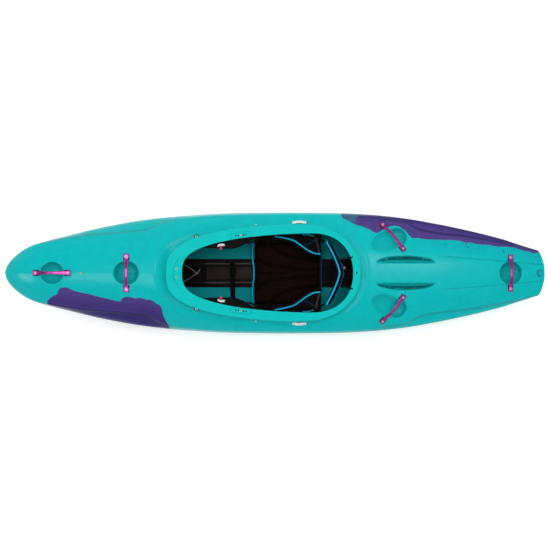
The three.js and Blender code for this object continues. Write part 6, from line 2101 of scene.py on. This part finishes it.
pillar = foam_block("bow_pillar", "bow_foam")
ready(pillar, "boat", "foam", "bow_pillar")
pillar = foam_block("stern_pillar", "stern_foam", mat=stern_foam_mat)
ready(pillar, "boat", "foam", "stern_pillar")
footpad = foam_block("footrest_pad", "footrest_cushion", 3.5)
puff(footpad, 0.003)
low, high = corners_of("footrest_pad")


def carve_footpad(p, n):
    rear = smooth(0.3, 0.8, n[:, 0])
    x = p[:, 0]
    for y in (-75, 0, 75):
        x = x - rear * 2.2 * np.exp(-((p[:, 1] - y) / 3) ** 2)
    for z in (150, 215):
        x = x - rear * 2.2 * np.exp(-((p[:, 2] - z) / 3) ** 2)
    return np.stack([np.clip(x, low[0], high[0] + 3), p[:, 1], p[:, 2]], -1)


shape_points(footpad, carve_footpad)
ready(footpad, "footrest", "foam", "footrest_pad")


# CAD nodes whose shape is right get a better material
def dress(node_name, mat):
    obj = frame["nodes"][node_name]
    if not obj.material_slots:
        obj.data.materials.append(mat)
    for slot_of in obj.material_slots:
        slot_of.material = mat


for name, mat in {"seat_shell": tray_mat, "floor_spine": tray_mat, "footrest_plate": black_mat,
                  "foot_rail_right": steel_mat, "foot_rail_left": steel_mat}.items():
    dress(name, mat)


# Light and floor
floor = new_object("floor", [(-20000, -20000, -1), (20000, -20000, -1), (20000, 20000, -1),
                             (-20000, 20000, -1)], [(0, 1, 2, 3)], None, False)
floor_mat, tree, shader = material("floor")
shader.inputs["Base Color"].default_value = (0.86, 0.86, 0.86, 1)
shader.inputs["Roughness"].default_value = 0.9
rays = tree.nodes.new("ShaderNodeLightPath")
glow = tree.nodes.new("ShaderNodeEmission")
seen = higher(tree, rays.outputs["Is Camera Ray"], rays.outputs["Is Glossy Ray"])
tree.links.new(times(tree, seen, 0.45), glow.inputs["Strength"])
both = tree.nodes.new("ShaderNodeAddShader")
tree.links.new(shader.outputs[0], both.inputs[0])
tree.links.new(glow.outputs[0], both.inputs[1])
tree.links.new(both.outputs[0], tree.nodes["Material Output"].inputs[0])
floor.data.materials.append(floor_mat)


def area(name, place_at, size, power, look_at=(0, 0, 0.2), glossy=False):
    light = bpy.data.lights.new(name, "AREA")
    light.shape = "RECTANGLE"
    light.size, light.size_y = size
    light.energy = power
    obj = bpy.data.objects.new(name, light)
    obj.location = place_at
    obj.rotation_euler = (Vector(look_at) - Vector(place_at)).to_track_quat("-Z", "Y").to_euler()
    obj.visible_camera = False
    obj.visible_glossy = glossy
    bpy.context.scene.collection.objects.link(obj)
    return obj


area("key", (-0.1, 0.8, 5.0), (3.4, 1.7), 66)
area("side_right", (0.2, 3.6, 2.4), (3.4, 1.2), 16)
grips = bpy.data.collections.new("grips")
for piece in list(bpy.data.objects):
    if piece.name.endswith(("_grip", "_head", "_strap")) or "_screw_" in piece.name:
        grips.objects.link(piece)
deck = bpy.data.collections.new("deck")
deck.objects.link(hull_obj)
for name, spot, size, power, lit in (("shine", (0, 0, 5.2), (6.5, 1.3), 84, grips),
                                     ("bow_strip", (-7, -1.9, 4.5), (5, 1.9), 420, deck),
                                     ("foredeck_strip", (-1.4, -0.95, 4.5), (2.4, 1.1), 75, deck),
                                     ("tongue_strip", (1.85, 0.55, 4.5), (0.6, 0.5), 36, deck)):
    lamp = area(name, spot, size, power, (spot[0], spot[1], 0), True)
    lamp.visible_diffuse = False
    lamp.light_linking.receiver_collection = lit

world = bpy.data.worlds.new("world")
bpy.context.scene.world = world
world.use_nodes = True
tree = world.node_tree
background = tree.nodes["Background"]
rays = tree.nodes.new("ShaderNodeLightPath")
direction = tree.nodes.new("ShaderNodeTexCoord")
split = tree.nodes.new("ShaderNodeSeparateXYZ")
tree.links.new(direction.outputs["Generated"], split.inputs[0])
glossy = plus(tree, span(tree, split.outputs[2], 0.15, 0.45, 0.95, 0.2),
                   span(tree, split.outputs[2], 0.75, 0.95, 0, 0.4))
diffuse = 0.68
lit = plus(tree, times(tree, rays.outputs["Is Glossy Ray"], minus(tree, glossy, diffuse)), diffuse)
strength = higher(tree, lit, rays.outputs["Is Camera Ray"])
tree.links.new(strength, background.inputs["Strength"])
background.inputs["Color"].default_value = (1, 1, 1, 1)

bpy.context.scene.view_settings.view_transform = "Standard"
